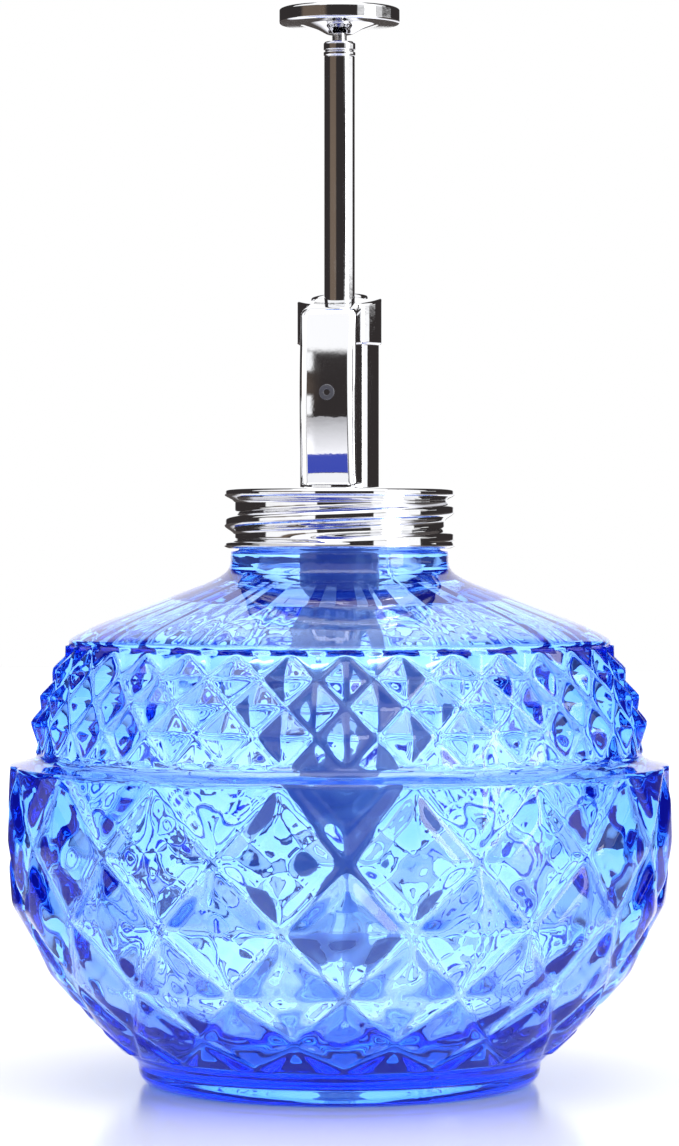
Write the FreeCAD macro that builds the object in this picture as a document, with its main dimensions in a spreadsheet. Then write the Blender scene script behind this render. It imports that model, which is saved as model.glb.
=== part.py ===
# Perfume atomiser: faceted glass bottle, screw closure and hand pump with a thumb disc.
# Millimetres, +Z up. The origin is the centre of the base and the nozzle faces -Y.
# Every turned piece is drawn in its own frame, standing on its lowest face, then placed.
import FreeCAD, Part
import math
import os
import Sketcher
from FreeCAD import Placement, Rotation, Vector

# ---------------------------------------------------------------- sizes
SIZES = {
    # pattern of large framed diamonds and small pointed diamonds
    "large_around": 16, "small_around": 32, "frame_share": 0.642857, "frame_swell": 0.75,
    # heights up the bottle
    "foot_recess": 2.6, "floor_height": 8.0, "shoulder_rise": 9.7, "neck_bead_height": 79.6,
    "neck_height": 86.6, "cavity_widest_low": 35.0, "cavity_widest_high": 40.0,
    "cavity_bend": 56.5, "cavity_roof_low": 66.4, "cavity_roof_high": 73.8,
    # radii of the bottle
    "foot_radius": 30.2, "foot_ring_outer": 28.8, "foot_ring_inner": 25.8, "ledge_edge_radius": 48.2,
    "belt_radius": 45.5, "crown_radius": 40.6, "shoulder_radius": 39.0, "neck_bead_radius": 16.35,
    "neck_radius": 15.1, "neck_bore_radius": 12.2, "cavity_floor_radius": 26.0,
    "cavity_radius": 44.2, "cavity_bend_radius": 40.4, "cavity_roof_radius": 33.5,
    "cavity_neck_radius": 14.5,
    # curves of the bottle's outline
    "foot_round": 1.4, "foot_hollow_round": 2.2, "foot_top_round": 1.6, "belt_round": 0.8,
    "crown_round": 1.9, "shoulder_curve": 170.0, "neck_root_round": 2.2, "cavity_bowl": 31.4,
    "cavity_shoulder": 16.8, "cavity_neck_round": 3.2,
    # screw closure
    "thread_pitch": 4.05, "thread_rise": 1.2, "neck_thread_turns": 1.1, "cap_thread_turns": 1.75,
    "cap_base": 80.1, "cap_drop": 2.0, "cap_tall": 9.1, "cap_plate": 0.6, "cap_wall": 0.5,
    "cap_root_radius": 15.9, "cap_crest_radius": 17.3, "cap_hole_radius": 6.3,
    "cap_bead_round": 0.875, "gasket_thick": 1.0, "gasket_radius": 15.0, "gasket_bore_radius": 8.0,
    # pump housing
    "flange_thick": 1.0, "flange_radius": 14.8, "spigot_base": 82.0, "spigot_radius": 5.15,
    "seal_groove_half": 0.65, "seal_groove_deep": 1.3, "stem_radius": 6.0, "collar_radius": 6.4,
    "collar_base": 110.5, "housing_top": 122.0, "housing_bore_radius": 3.3, "gland_base": 109.4,
    "gland_radius": 4.2, "block_wide": 8.4, "block_base": 89.5, "block_reach": 10.8,
    "block_bow_radius": 68.0, "block_bow_height": 102.5, "block_edge_round": 1.1,
    "head_slope": 12.0, "head_top": 117.6,
    # nozzle
    "nozzle_height": 103.2, "nozzle_radius": 1.2, "nozzle_proud": 0.1, "nozzle_long": 2.0,
    "nozzle_bore_radius": 0.7, "orifice_radius": 0.25, "orifice_long": 0.4, "nozzle_seal_thick": 0.3,
    "core_radius": 0.85, "core_long": 1.8, "core_slot": 0.4, "passage_radius": 0.6,
    "nozzle_slack": 0.03,
    # gland at the top of the housing
    "rod_seal_ring_radius": 3.15, "rod_seal_wire_radius": 0.8, "bush_base": 111.2, "bush_tall": 5.2,
    "bush_bore_radius": 2.36, "bush_radius": 4.17, "bush_chamfer": 0.5,
    # barrel
    "barrel_base": 28.5, "barrel_radius": 6.0, "barrel_bore_radius": 5.2,
    "barrel_seal_ring_radius": 4.5, "barrel_seal_wire_radius": 0.62, "barrel_seal_height": 84.6,
    "seat_base": 23.5, "seat_step": 5.0, "seat_tall": 8.0, "seat_radius": 5.17,
    "nipple_radius": 3.4, "nipple_bore_radius": 2.55, "nipple_bore_tall": 4.1,
    "seat_bore_radius": 1.0, "seat_cone_low": 6.5, "seat_cone_high": 7.5,
    "inlet_ball_radius": 1.5, "inlet_ball_rise": 7.64, "cage_tall": 3.3, "cage_radius": 5.17,
    "cage_bore_radius": 2.0, "cage_hole_radius": 1.2, "cage_roof": 0.8, "cage_slot": 1.0,
    "cage_slot_reach": 3.2, "cage_slot_rise": 1.2, "dip_tube_base": 9.6, "dip_tube_top": 27.4,
    "dip_tube_radius": 2.5, "dip_tube_bore_radius": 1.7, "strainer_base": 8.9,
    "strainer_tall": 3.6, "strainer_radius": 3.2, "strainer_hole_radius": 0.9,
    "strainer_floor": 0.6, "strainer_slot": 0.8,
    # plunger
    "tube_radius": 2.325, "tube_bore_radius": 1.85, "tube_top": 153.7, "rod_radius": 1.8,
    "stem_rod_radius": 1.1, "stem_rod_top": 159.0, "top_collar_radius": 2.42, "top_collar_tall": 2.2,
    "top_collar_groove": 0.25, "disc_base": 157.0, "disc_hub_tall": 1.5, "disc_tall": 4.0,
    "disc_hub_radius": 1.9, "disc_cone_radius": 5.6, "disc_cone_curve": 11.9, "disc_radius": 9.15,
    "disc_low_round": 0.25, "disc_top_round": 0.5, "disc_dish": 0.35, "disc_dish_curve": 107.0,
    "disc_socket_tall": 2.1, "screw_slack": 0.02,
    # piston
    "piston_base": 75.6, "piston_tall": 6.2, "piston_radius": 5.1, "piston_hub_radius": 3.6,
    "piston_land": 3.1, "piston_port_radius": 0.4, "piston_port_height": 3.65,
    "piston_inlet_radius": 0.7, "piston_seat_low": 1.0, "piston_seat_high": 1.8,
    "piston_chamber_radius": 1.5, "rod_socket_height": 4.2, "piston_seal_radius": 5.17,
    "piston_lip_radius": 4.9, "piston_groove_radius": 4.0, "piston_groove_low": 0.9,
    "piston_groove_high": 2.7, "outlet_ball_radius": 1.1, "outlet_ball_rise": 1.87,
    # return spring
    "spring_mean_radius": 4.25, "spring_wire_radius": 0.34, "spring_turns": 8,
}

# Rows where the corners of the diamonds meet, top to bottom: height, radius at the corners,
# and radius at the peak of the diamond centred on that row.
LARGE_ROWS = [("ledge_row", 47.7, 48.6, 49.4), ("upper_row", 36.6, 48.7, 50.1),
              ("middle_row", 26.7, 47.2, 49.2), ("lower_row", 17.1, 42.3, 43.9),
              ("base_row", 10.1, 36.6, 37.9), ("foot_row", 5.3, 32.0, 32.9)]
SMALL_ROWS = [("crown_row", 65.6, 39.6, 41.2), ("second_row", 62.1, 41.3, 43.2),
              ("third_row", 58.2, 43.1, 45.1), ("fourth_row", 54.1, 44.6, 46.5),
              ("belt_row", 49.6, 45.0, 45.6)]
for name, height, corner, peak in LARGE_ROWS + SMALL_ROWS:
    SIZES.update({name + "_height": height, name + "_corner": corner, name + "_peak": peak})

doc = FreeCAD.newDocument("Atomiser")
sheet = doc.addObject("Spreadsheet::Sheet", "Sizes")
for line, (name, number) in enumerate(SIZES.items(), 1):
    sheet.set("A%d" % line, name)
    sheet.set("B%d" % line, str(number))
    sheet.setAlias("B%d" % line, name)
doc.recompute()


# ---------------------------------------------------------------- helpers
def terms(text):
    """The signed terms of a sum such as 'neck_height + 1.5 - cap_wall'."""
    for term in text.replace(" ", "").replace("-", "+-").split("+"):
        if term:
            yield ("-" if term[0] == "-" else "+"), term.lstrip("-")


def amount(text):
    """The number that a sum of sizes stands for."""
    return sum((-1 if sign == "-" else 1) * (SIZES[term] if term in SIZES else float(term))
               for sign, term in terms(text))


def formula(text):
    """The same sum, written so that it follows the sheet of sizes."""
    return " ".join(sign + " " + ("Sizes." + term if term in SIZES else term)
                    for sign, term in terms(text)).removeprefix("+ ")


def bind(thing, **links):
    """Tie properties of a document object to sums of sizes."""
    for path, text in links.items():
        thing.setExpression(path.replace("__", "."), formula(text))


def place(thing, x="0", y="0", z="0", turn=None):
    """Put a piece in the assembly, its position following the sheet of sizes."""
    thing.Placement = Placement(Vector(amount(x), amount(y), amount(z)), turn or Rotation())
    bind(thing, Placement__Base__x=x, Placement__Base__y=y, Placement__Base__z=z)


def arc_between(start, end, radius):
    """An arc from start to end and whether it runs backwards. A positive radius turns left."""
    chord = end - start
    rise = math.sqrt(radius ** 2 - (chord.Length / 2) ** 2)
    side = Vector(-chord.y, chord.x, 0).normalize() * math.copysign(rise, radius)
    centre = start + chord / 2 + side
    angles = [math.atan2(spot.y - centre.y, spot.x - centre.x) for spot in (start, end)]
    if radius < 0:
        angles.reverse()
    circle = Part.Circle(centre, Vector(0, 0, 1), abs(radius))
    return Part.ArcOfCircle(circle, *angles), radius < 0


def outline(body, name, points):
    """A closed outline on the body's XZ plane, every point tied to the sheet of sizes.

    A point is (radius, height). A third item makes the side that starts there an arc of that
    radius, which turns left when it is positive and right when it is negative.
    """
    drawing = body.newObject("Sketcher::SketchObject", name)
    planes = {item.Role: item for item in body.Origin.OriginFeatures}
    drawing.AttachmentSupport = [(planes["XZ_Plane"], "")]
    drawing.MapMode = "FlatFace"
    spots = [Vector(amount(point[0]), amount(point[1]), 0) for point in points]
    count = len(points)
    first, last = [], []
    for index, point in enumerate(points):
        side, backwards = Part.LineSegment(spots[index], spots[(index + 1) % count]), False
        if len(point) == 3:
            side, backwards = arc_between(spots[index], spots[(index + 1) % count], amount(point[2]))
        drawing.addGeometry(side, False)
        first.append(2 if backwards else 1)
        last.append(1 if backwards else 2)
    for index in range(count):
        after = (index + 1) % count
        drawing.addConstraint(
            Sketcher.Constraint("Coincident", index, last[index], after, first[after]))
    for index, point in enumerate(points):
        for text, kind, axis in ((point[0], "DistanceX", -2), (point[1], "DistanceY", -1)):
            if abs(amount(text)) < 1e-9:
                drawing.addConstraint(
                    Sketcher.Constraint("PointOnObject", index, first[index], axis))
            else:
                tie = drawing.addConstraint(
                    Sketcher.Constraint(kind, -1, 1, index, first[index], amount(text)))
                drawing.setExpression("Constraints[%d]" % tie, formula(text))
        if len(point) == 3:
            curve = point[2].replace(" ", "").lstrip("-")
            tie = drawing.addConstraint(Sketcher.Constraint("Radius", index, amount(curve)))
            drawing.setExpression("Constraints[%d]" % tie, formula(curve))
    return drawing


def spin(body, kind, name, points):
    """Revolve an outline about the vertical axis, adding or removing material."""
    drawing = outline(body, name + "_outline", points)
    feature = body.newObject(kind, name)
    feature.Profile = drawing
    feature.ReferenceAxis = (drawing, ["V_Axis"])
    feature.Angle = 360
    body.Tip = feature
    return feature


def coil(body, kind, name, points, turns):
    """Run an outline up a right-handed helix about the vertical axis."""
    drawing = outline(body, name + "_outline", points)
    feature = body.newObject(kind, name)
    feature.Profile = drawing
    feature.ReferenceAxis = (drawing, ["V_Axis"])
    feature.Mode = "pitch-turns-angle"
    feature.Pitch = SIZES["thread_pitch"]
    feature.Turns = SIZES[turns]
    feature.setExpression("Pitch", "Sizes.thread_pitch")
    feature.setExpression("Turns", "Sizes." + turns)
    body.Tip = feature
    return feature


def turned(label, seat, points, turn=None):
    """A piece made on a lathe, standing at the height named by seat."""
    body = doc.addObject("PartDesign::Body", label)
    body.Label = label
    spin(body, "PartDesign::Revolution", label + "_turning", points)
    place(body, z=seat, turn=turn)
    return body


def primitive(kind, label, turn=None, at=("0", "0", "0"), **links):
    """A Part primitive whose sizes and position follow the sheet."""
    thing = doc.addObject("Part::" + kind, label)
    thing.Label = label
    for path, text in links.items():
        setattr(thing, path, amount(text))
    bind(thing, **links)
    place(thing, *at, turn=turn)
    return thing


def combine(kind, label, base, tools):
    """A boolean of document objects: Cut takes the tools away, Fuse and Common join them."""
    if kind == "Cut":
        tool = tools[0]
        if len(tools) > 1:
            tool = doc.addObject("Part::MultiFuse", label + "_tools")
            tool.Shapes = tools
        thing = doc.addObject("Part::Cut", label)
        thing.Base, thing.Tool = base, tool
    else:
        thing = doc.addObject("Part::Multi" + kind, label)
        thing.Shapes = [base] + tools
    thing.Label = label
    return thing


# ---------------------------------------------------------------- faceted bands of the bottle
def polar(radius, angle, height):
    return Vector(radius * math.cos(angle), radius * math.sin(angle), height)


def on_plane(plane, angle, height):
    """The point of a plane, given by three points, at this angle and height about the axis."""
    normal = (plane[1] - plane[0]).cross(plane[2] - plane[0])
    reach = normal.x * math.cos(angle) + normal.y * math.sin(angle)
    return polar((normal.dot(plane[0]) - normal.z * height) / reach, angle, height)


def diamond(corner, peak, angle, row, last, half, framed):
    """Facets of the diamond centred on one row, and its points along that row.

    corner and peak give points by row, a diamond on the first or last row is a half one.
    A framed diamond has a steep bevel around a shallow four-sided point.
    """
    left, right = corner(row, angle - half), corner(row, angle + half)
    top = corner(row - 1, angle) if row > 0 else None
    low = corner(row + 1, angle) if row < last else None
    tip = peak(row, angle)
    facets = []
    if not framed:
        for end in (top, low):
            if end:
                facets += [[end, left, tip], [end, tip, right]]
        return facets, [left, tip]
    share = SIZES["frame_share"]
    inner = {}
    for side, point in (("left", left), ("right", right)):
        spot = point + (tip - point) * (1 - share)
        outward = Vector(spot.x, spot.y, 0).normalize()
        inner[side] = spot + outward * SIZES["frame_swell"]
    for end in (top, low):
        if end:
            height = tip.z + share * (end.z - tip.z)
            point = on_plane([end, left, inner["left"]], angle, height)
            facets += [[end, left, inner["left"], point], [end, point, inner["right"], right],
                       [point, inner["left"], tip], [point, tip, inner["right"]]]
    return facets, [left, inner["left"], tip, inner["right"]]


def faceted_band(label, rows, around, framed):
    """A closed solid whose side is a lattice of diamonds, flat at the top and the bottom."""
    names = [row[0] for row in rows]
    step = 2 * math.pi / SIZES[around]

    def corner(row, angle):
        return polar(SIZES[names[row] + "_corner"], angle, SIZES[names[row] + "_height"])

    def peak(row, angle):
        return polar(SIZES[names[row] + "_peak"], angle, SIZES[names[row] + "_height"])

    last = len(rows) - 1
    facets, rims = [], {0: [], last: []}
    for row in range(len(rows)):
        for index in range(SIZES[around]):
            angle = -math.pi / 2 + step * (index + 0.5 * ((row + 1) % 2))
            found, along = diamond(corner, peak, angle, row, last, step / 2, framed)
            facets += found
            if row in rims:
                rims[row] += along
    faces = [Part.Face(Part.makePolygon(points + [points[0]])) for points in facets]
    faces += [Part.Face(Part.makePolygon(points + [points[0]])) for points in rims.values()]
    shell = Part.makeShell(faces)
    shell.sewShape()
    solid = Part.makeSolid(shell)
    if solid.Volume < 0:
        solid.reverse()
    band = doc.addObject("Part::Feature", label)
    band.Shape = solid
    return band


large_band = faceted_band("large_band", LARGE_ROWS, "large_around", True)
small_band = faceted_band("small_band", SMALL_ROWS, "small_around", False)

foot = turned("bottle_foot", "0", [
    ("0", "foot_recess"), ("foot_ring_inner - 1.8", "2.0", "- foot_hollow_round"),
    ("foot_ring_inner", "0"), ("foot_ring_outer", "0", "foot_round"),
    ("foot_radius", "foot_round"), ("foot_radius", "3.2", "foot_top_round"),
    ("31.6", "foot_row_height"), ("0", "foot_row_height")])
belt = turned("bottle_belt", "ledge_row_height", [
    ("0", "0"), ("ledge_edge_radius", "0"), ("belt_radius + 0.6", "0.7", "- belt_round"),
    ("belt_radius", "1.4"), ("belt_radius", "belt_row_height - ledge_row_height"),
    ("0", "belt_row_height - ledge_row_height")])
# The neck is turned, then its thread is run round it; both stand on the crown of the bottle.
neck_tall = "neck_height - crown_row_height"
bead_tall = "neck_bead_height - crown_row_height"
neck = turned("bottle_neck", "crown_row_height", [
    ("0", "0"), ("crown_radius", "0"), ("crown_radius", "0.6", "crown_round"),
    ("shoulder_radius", "1.7", "shoulder_curve"), ("18.75", "shoulder_rise", "- neck_root_round"),
    ("neck_bead_radius", "shoulder_rise + 1.5"), ("neck_bead_radius", bead_tall + " - 0.3"),
    ("neck_bead_radius - 0.4", bead_tall), ("neck_radius", bead_tall + " + 0.2"),
    ("neck_radius", neck_tall + " - 0.4"), ("neck_radius - 0.4", neck_tall), ("0", neck_tall)],
    turn=Rotation(Vector(0, 0, 1), -60))
coil(neck, "PartDesign::AdditiveHelix", "neck_thread", [
    ("neck_radius - 0.2", neck_tall + " - 6.3"), ("neck_radius + thread_rise", neck_tall + " - 5.9"),
    ("neck_radius + thread_rise", neck_tall + " - 5.1"), ("neck_radius - 0.2", neck_tall + " - 4.7")],
    "neck_thread_turns")
cavity = turned("bottle_cavity", "floor_height", [
    ("0", "0"), ("cavity_floor_radius", "0", "cavity_bowl"),
    ("cavity_radius", "cavity_widest_low - floor_height"),
    ("cavity_radius", "cavity_widest_high - floor_height"),
    ("cavity_bend_radius", "cavity_bend - floor_height", "cavity_shoulder"),
    ("cavity_roof_radius", "cavity_roof_low - floor_height"),
    ("cavity_neck_radius", "cavity_roof_high - floor_height", "- cavity_neck_round"),
    ("neck_bore_radius", "cavity_roof_high - floor_height + 2.7"),
    ("neck_bore_radius", "neck_height - floor_height + 2"),
    ("0", "neck_height - floor_height + 2")])
bottle_outside = large_band
for name, stage in (("footed", foot), ("belted", belt), ("banded", small_band), ("necked", neck)):
    joined = doc.addObject("Part::Fuse", name + "_bottle")
    joined.Base, joined.Tool = bottle_outside, stage
    bottle_outside = joined
glass_bottle = combine("Cut", "glass_bottle", bottle_outside, [cavity])

# ---------------------------------------------------------------- screw closure
# Its frame starts below the rim, so that the thread form can run out through the rim.
cap_low = "cap_drop"
screw_cap = doc.addObject("PartDesign::Body", "screw_cap")
screw_cap.Label = "screw_cap"
cap_high = "cap_drop + cap_tall"
spin(screw_cap, "PartDesign::Revolution", "cap_blank", [
    ("0", cap_low), ("cap_crest_radius - 0.1", cap_low), ("cap_crest_radius", "cap_drop + 0.3"),
    ("cap_crest_radius", "cap_drop + 0.9"), ("cap_root_radius", "cap_drop + 1.7"),
    ("cap_root_radius", cap_high + " - 1.9"),
    ("cap_crest_radius - 0.35", cap_high + " - 1.4", "cap_bead_round"),
    ("cap_crest_radius - 0.35", cap_high), ("0", cap_high)])
coil(screw_cap, "PartDesign::AdditiveHelix", "cap_ridge", [
    ("cap_root_radius - 0.2", "0.85"), ("cap_crest_radius - 0.3", "1.8"),
    ("cap_crest_radius", "2.35"), ("cap_crest_radius - 0.3", "2.9"),
    ("cap_root_radius - 0.2", "3.85")], "cap_thread_turns")
spin(screw_cap, "PartDesign::Groove", "cap_inside", [
    ("0", "0.1"), ("20", "0.1"), ("20", cap_low), ("cap_crest_radius - cap_wall", cap_low),
    ("cap_crest_radius - cap_wall", "cap_drop + 1.2"),
    ("cap_root_radius - cap_wall", "cap_drop + 1.9"),
    ("cap_root_radius - cap_wall", cap_high + " - cap_plate"),
    ("cap_hole_radius", cap_high + " - cap_plate"),
    ("cap_hole_radius", cap_high + " + 1"), ("0", cap_high + " + 1")])
coil(screw_cap, "PartDesign::SubtractiveHelix", "cap_groove", [
    ("cap_root_radius - cap_wall - 0.3", "0.97"), ("cap_crest_radius - cap_wall - 0.3", "1.9"),
    ("cap_crest_radius - cap_wall", "2.35"), ("cap_crest_radius - cap_wall - 0.3", "2.8"),
    ("cap_root_radius - cap_wall - 0.3", "3.73")], "cap_thread_turns")
place(screw_cap, z="cap_base - cap_drop", turn=Rotation(Vector(0, 0, 1), -115.6))

neck_gasket = turned("neck_gasket", "neck_height", [
    ("gasket_bore_radius", "0"), ("gasket_radius", "0"), ("gasket_radius", "gasket_thick"),
    ("gasket_bore_radius", "gasket_thick")])

# ---------------------------------------------------------------- pump housing
groove_low = "barrel_seal_height - spigot_base - seal_groove_half"
groove_high = "barrel_seal_height - spigot_base + seal_groove_half"
flange_low = "neck_height + gasket_thick - spigot_base"
flange_high = flange_low + " + flange_thick"
turning = turned("housing_turning", "spigot_base", [
    ("0", "0"), ("spigot_radius", "0"), ("spigot_radius", groove_low),
    ("spigot_radius - seal_groove_deep", groove_low),
    ("spigot_radius - seal_groove_deep", groove_high), ("spigot_radius", groove_high),
    ("spigot_radius", flange_low), ("flange_radius", flange_low), ("flange_radius", flange_high),
    ("stem_radius", flange_high), ("stem_radius", "collar_base - spigot_base"),
    ("collar_radius", "collar_base + 0.3 - spigot_base"),
    ("collar_radius", "housing_top - spigot_base"), ("0", "housing_top - spigot_base")])
block_bar = primitive("Box", "block_bar", at=("- block_wide", "- block_reach - 2", "block_base"),
                      Length="block_wide + block_wide", Width="block_reach + 2",
                      Height="housing_top - block_base")
block_slab = primitive("Box", "block_slab", at=("0", "- 40", "block_base - 10"),
                       Length="block_wide", Width="40", Height="housing_top - block_base + 20")
block_slab.setExpression("Placement.Base.x", "-Sizes.block_wide / 2")
bow = primitive("Cylinder", "block_bow", turn=Rotation(Vector(0, 1, 0), 90),
                at=("- 20", "block_bow_radius - block_reach", "block_bow_height"),
                Radius="block_bow_radius", Height="40")
block = combine("Common", "block", block_bar, [block_slab, bow])
doc.recompute()
block_round = doc.addObject("Part::Fillet", "block_round")
block_round.Base = block
block_round.Edges = [
    (number, SIZES["block_edge_round"], SIZES["block_edge_round"])
    for number, edge in enumerate(block.Shape.Edges, 1)
    if edge.BoundBox.ZLength > 20 and edge.BoundBox.YMin < -5]
housing_bores = turned("housing_bores", "spigot_base - 1", [
    ("0", "0"), ("housing_bore_radius", "0"), ("housing_bore_radius", "gland_base - spigot_base + 1"),
    ("gland_radius", "gland_base - spigot_base + 1"), ("gland_radius", "housing_top - spigot_base + 2"),
    ("0", "housing_top - spigot_base + 2")])
FORWARD = Rotation(Vector(1, 0, 0), 90)     # a cylinder's length then runs towards -Y
nozzle_recess = primitive(
    "Cylinder", "nozzle_recess", turn=FORWARD,
    at=("0", "nozzle_long + nozzle_seal_thick - nozzle_proud - block_reach", "nozzle_height"),
    Radius="nozzle_radius + nozzle_slack", Height="nozzle_long + nozzle_seal_thick + 2")
core_seat = "nozzle_long + nozzle_seal_thick + core_long - nozzle_proud - block_reach"
core_recess = primitive("Cylinder", "core_recess", turn=FORWARD,
                        at=("0", core_seat + " + 0.2", "nozzle_height"),
                        Radius="core_radius + nozzle_slack", Height="core_long + 1")
passage = primitive("Cylinder", "spray_passage", turn=FORWARD, at=("0", "-2", "nozzle_height"),
                    Radius="passage_radius", Height="6")
# The wedge above the sloping top turns about the point where the slope meets the axis.
slope_wide = 60
slope_turn = Rotation(Vector(1, 0, 0), SIZES["head_slope"])
top_slope = primitive("Box", "head_slope_cut", Length=str(slope_wide), Width=str(slope_wide), Height="30")
slope_shift = slope_turn.multVec(Vector(-slope_wide / 2, -slope_wide / 2, 0))
top_slope.Placement = Placement(Vector(0, 0, SIZES["head_top"]) + slope_shift, slope_turn)
for axis, shift in (("x", "-{0}"), ("y", "-{0} * cos(Sizes.head_slope * 1 deg)"),
                    ("z", "Sizes.head_top - {0} * sin(Sizes.head_slope * 1 deg)")):
    top_slope.setExpression("Placement.Base." + axis, shift.format(slope_wide // 2))
housing_outside = combine("Fuse", "housing_outside", turning, [block_round])
pump_housing = combine("Cut", "pump_housing", housing_outside,
                       [housing_bores, nozzle_recess, core_recess, passage, top_slope])

# ---------------------------------------------------------------- gland
rod_seal = primitive("Torus", "rod_seal", at=("0", "0", "gland_base + rod_seal_wire_radius"),
                     Radius1="rod_seal_ring_radius", Radius2="rod_seal_wire_radius")
guide_bush = turned("guide_bush", "bush_base", [
    ("bush_bore_radius", "0"), ("bush_radius", "0"), ("bush_radius", "bush_tall"),
    ("bush_bore_radius + bush_chamfer", "bush_tall"),
    ("bush_bore_radius", "bush_tall - bush_chamfer")])


# ---------------------------------------------------------------- nozzle, turned along -Y
def forward(label, reach, points):
    """A turned piece whose own axis runs forwards from the given distance ahead of the axis."""
    piece = turned(label, "nozzle_height", points)
    place(piece, y=reach, z="nozzle_height", turn=FORWARD)
    return piece


nozzle_tip = forward("nozzle_tip", "nozzle_long - nozzle_proud - block_reach", [
    ("nozzle_bore_radius", "0"), ("nozzle_radius", "0"), ("nozzle_radius", "nozzle_long - 0.15"),
    ("nozzle_radius - 0.15", "nozzle_long"), ("orifice_radius + 0.3", "nozzle_long"),
    ("orifice_radius", "nozzle_long - 0.3"),
    ("orifice_radius", "nozzle_long - 0.3 - orifice_long"), ("nozzle_bore_radius", "1.0")])
nozzle_seal = forward("nozzle_seal", "nozzle_long + nozzle_seal_thick - nozzle_proud - block_reach", [
    ("core_radius + 0.05", "0"), ("nozzle_radius", "0"), ("nozzle_radius", "nozzle_seal_thick"),
    ("core_radius + 0.05", "nozzle_seal_thick")])
core_blank = forward("core_blank", core_seat, [
    ("0", "0"), ("core_radius", "0"), ("core_radius", "core_long"), ("0", "core_long")])
core_slots = [
    primitive("Box", "core_slot_" + side, at=(x, "- block_reach", "nozzle_height - 0.2"),
              Length="core_slot", Width="6", Height="core_slot")
    for side, x in (("left", "- core_radius"), ("right", "core_radius - core_slot"))]
swirl_core = combine("Cut", "swirl_core", core_blank, core_slots)

# ---------------------------------------------------------------- barrel and inlet
pump_barrel = turned("pump_barrel", "barrel_base", [
    ("barrel_bore_radius", "0"), ("barrel_radius", "0"),
    ("barrel_radius", "neck_height + gasket_thick - barrel_base"),
    ("barrel_bore_radius", "neck_height + gasket_thick - barrel_base")])
barrel_seal = primitive("Torus", "barrel_seal", at=("0", "0", "barrel_seal_height"),
                        Radius1="barrel_seal_ring_radius", Radius2="barrel_seal_wire_radius")
inlet_seat = turned("inlet_seat", "seat_base", [
    ("nipple_bore_radius", "0"), ("nipple_radius", "0"), ("nipple_radius", "seat_step"),
    ("seat_radius", "seat_step"), ("seat_radius", "seat_tall"), ("cage_bore_radius", "seat_tall"),
    ("cage_bore_radius", "seat_cone_high"), ("seat_bore_radius", "seat_cone_low"),
    ("seat_bore_radius", "nipple_bore_tall"), ("nipple_bore_radius", "nipple_bore_tall")])
inlet_ball = primitive("Sphere", "inlet_ball", at=("0", "0", "seat_base + inlet_ball_rise"),
                       Radius="inlet_ball_radius")
cage_blank = turned("cage_blank", "seat_base + seat_tall", [
    ("cage_bore_radius", "0"), ("cage_radius", "0"), ("cage_radius", "cage_tall"),
    ("cage_hole_radius", "cage_tall"), ("cage_hole_radius", "cage_tall - cage_roof"),
    ("cage_bore_radius", "cage_tall - cage_roof")])
cage_slot_at = ("- cage_slot_reach", "-0.5", "seat_base + seat_tall + cage_slot_rise")
cage_slots = [
    primitive("Box", "cage_slot_across", at=cage_slot_at, Height="4",
              Length="cage_slot_reach + cage_slot_reach", Width="cage_slot"),
    primitive("Box", "cage_slot_along", at=(cage_slot_at[1], cage_slot_at[0], cage_slot_at[2]),
              Height="4", Length="cage_slot", Width="cage_slot_reach + cage_slot_reach")]
inlet_cage = combine("Cut", "inlet_cage", cage_blank, cage_slots)
dip_tube = turned("dip_tube", "dip_tube_base", [
    ("dip_tube_bore_radius", "0"), ("dip_tube_radius", "0"),
    ("dip_tube_radius", "dip_tube_top - dip_tube_base"),
    ("dip_tube_bore_radius", "dip_tube_top - dip_tube_base")])
strainer_blank = turned("strainer_blank", "strainer_base", [
    ("strainer_hole_radius", "0"), ("strainer_radius", "0"), ("strainer_radius", "strainer_tall"),
    ("dip_tube_radius + screw_slack", "strainer_tall"),
    ("dip_tube_radius + screw_slack", "strainer_floor"),
    ("strainer_hole_radius", "strainer_floor")])
strainer_slots = [
    primitive("Box", "strainer_slot_" + name, at=(x, y, "strainer_base - 0.5"),
              Length=long, Width=wide, Height="1.1")
    for name, x, y, long, wide in (("across", "-5", "-0.4", "10", "strainer_slot"),
                                   ("along", "-0.4", "-5", "strainer_slot", "10"))]
strainer = combine("Cut", "strainer", strainer_blank, strainer_slots)

# ---------------------------------------------------------------- plunger
plunger_rod = turned("plunger_rod", "piston_base + rod_socket_height", [
    ("0", "0"), ("rod_radius", "0"), ("rod_radius", "tube_top - piston_base - rod_socket_height"),
    ("stem_rod_radius", "tube_top - piston_base - rod_socket_height"),
    ("stem_rod_radius", "stem_rod_top - piston_base - rod_socket_height"),
    ("0", "stem_rod_top - piston_base - rod_socket_height")])
plunger_tube = turned("plunger_tube", "piston_base + piston_tall", [
    ("tube_bore_radius", "0"), ("tube_radius", "0"),
    ("tube_radius", "tube_top - piston_base - piston_tall"),
    ("tube_bore_radius", "tube_top - piston_base - piston_tall")])
tube_collar = turned("tube_collar", "tube_top", [
    ("stem_rod_radius + screw_slack", "0"), ("top_collar_radius - 0.2", "0"),
    ("top_collar_radius", "0.2"), ("top_collar_radius", "0.6"),
    ("top_collar_radius - top_collar_groove", "0.7"),
    ("top_collar_radius - top_collar_groove", "0.9"), ("top_collar_radius", "1.0"),
    ("top_collar_radius", "top_collar_tall - 0.2"), ("top_collar_radius - 0.2", "top_collar_tall"),
    ("stem_rod_radius + screw_slack", "top_collar_tall")])
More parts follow.
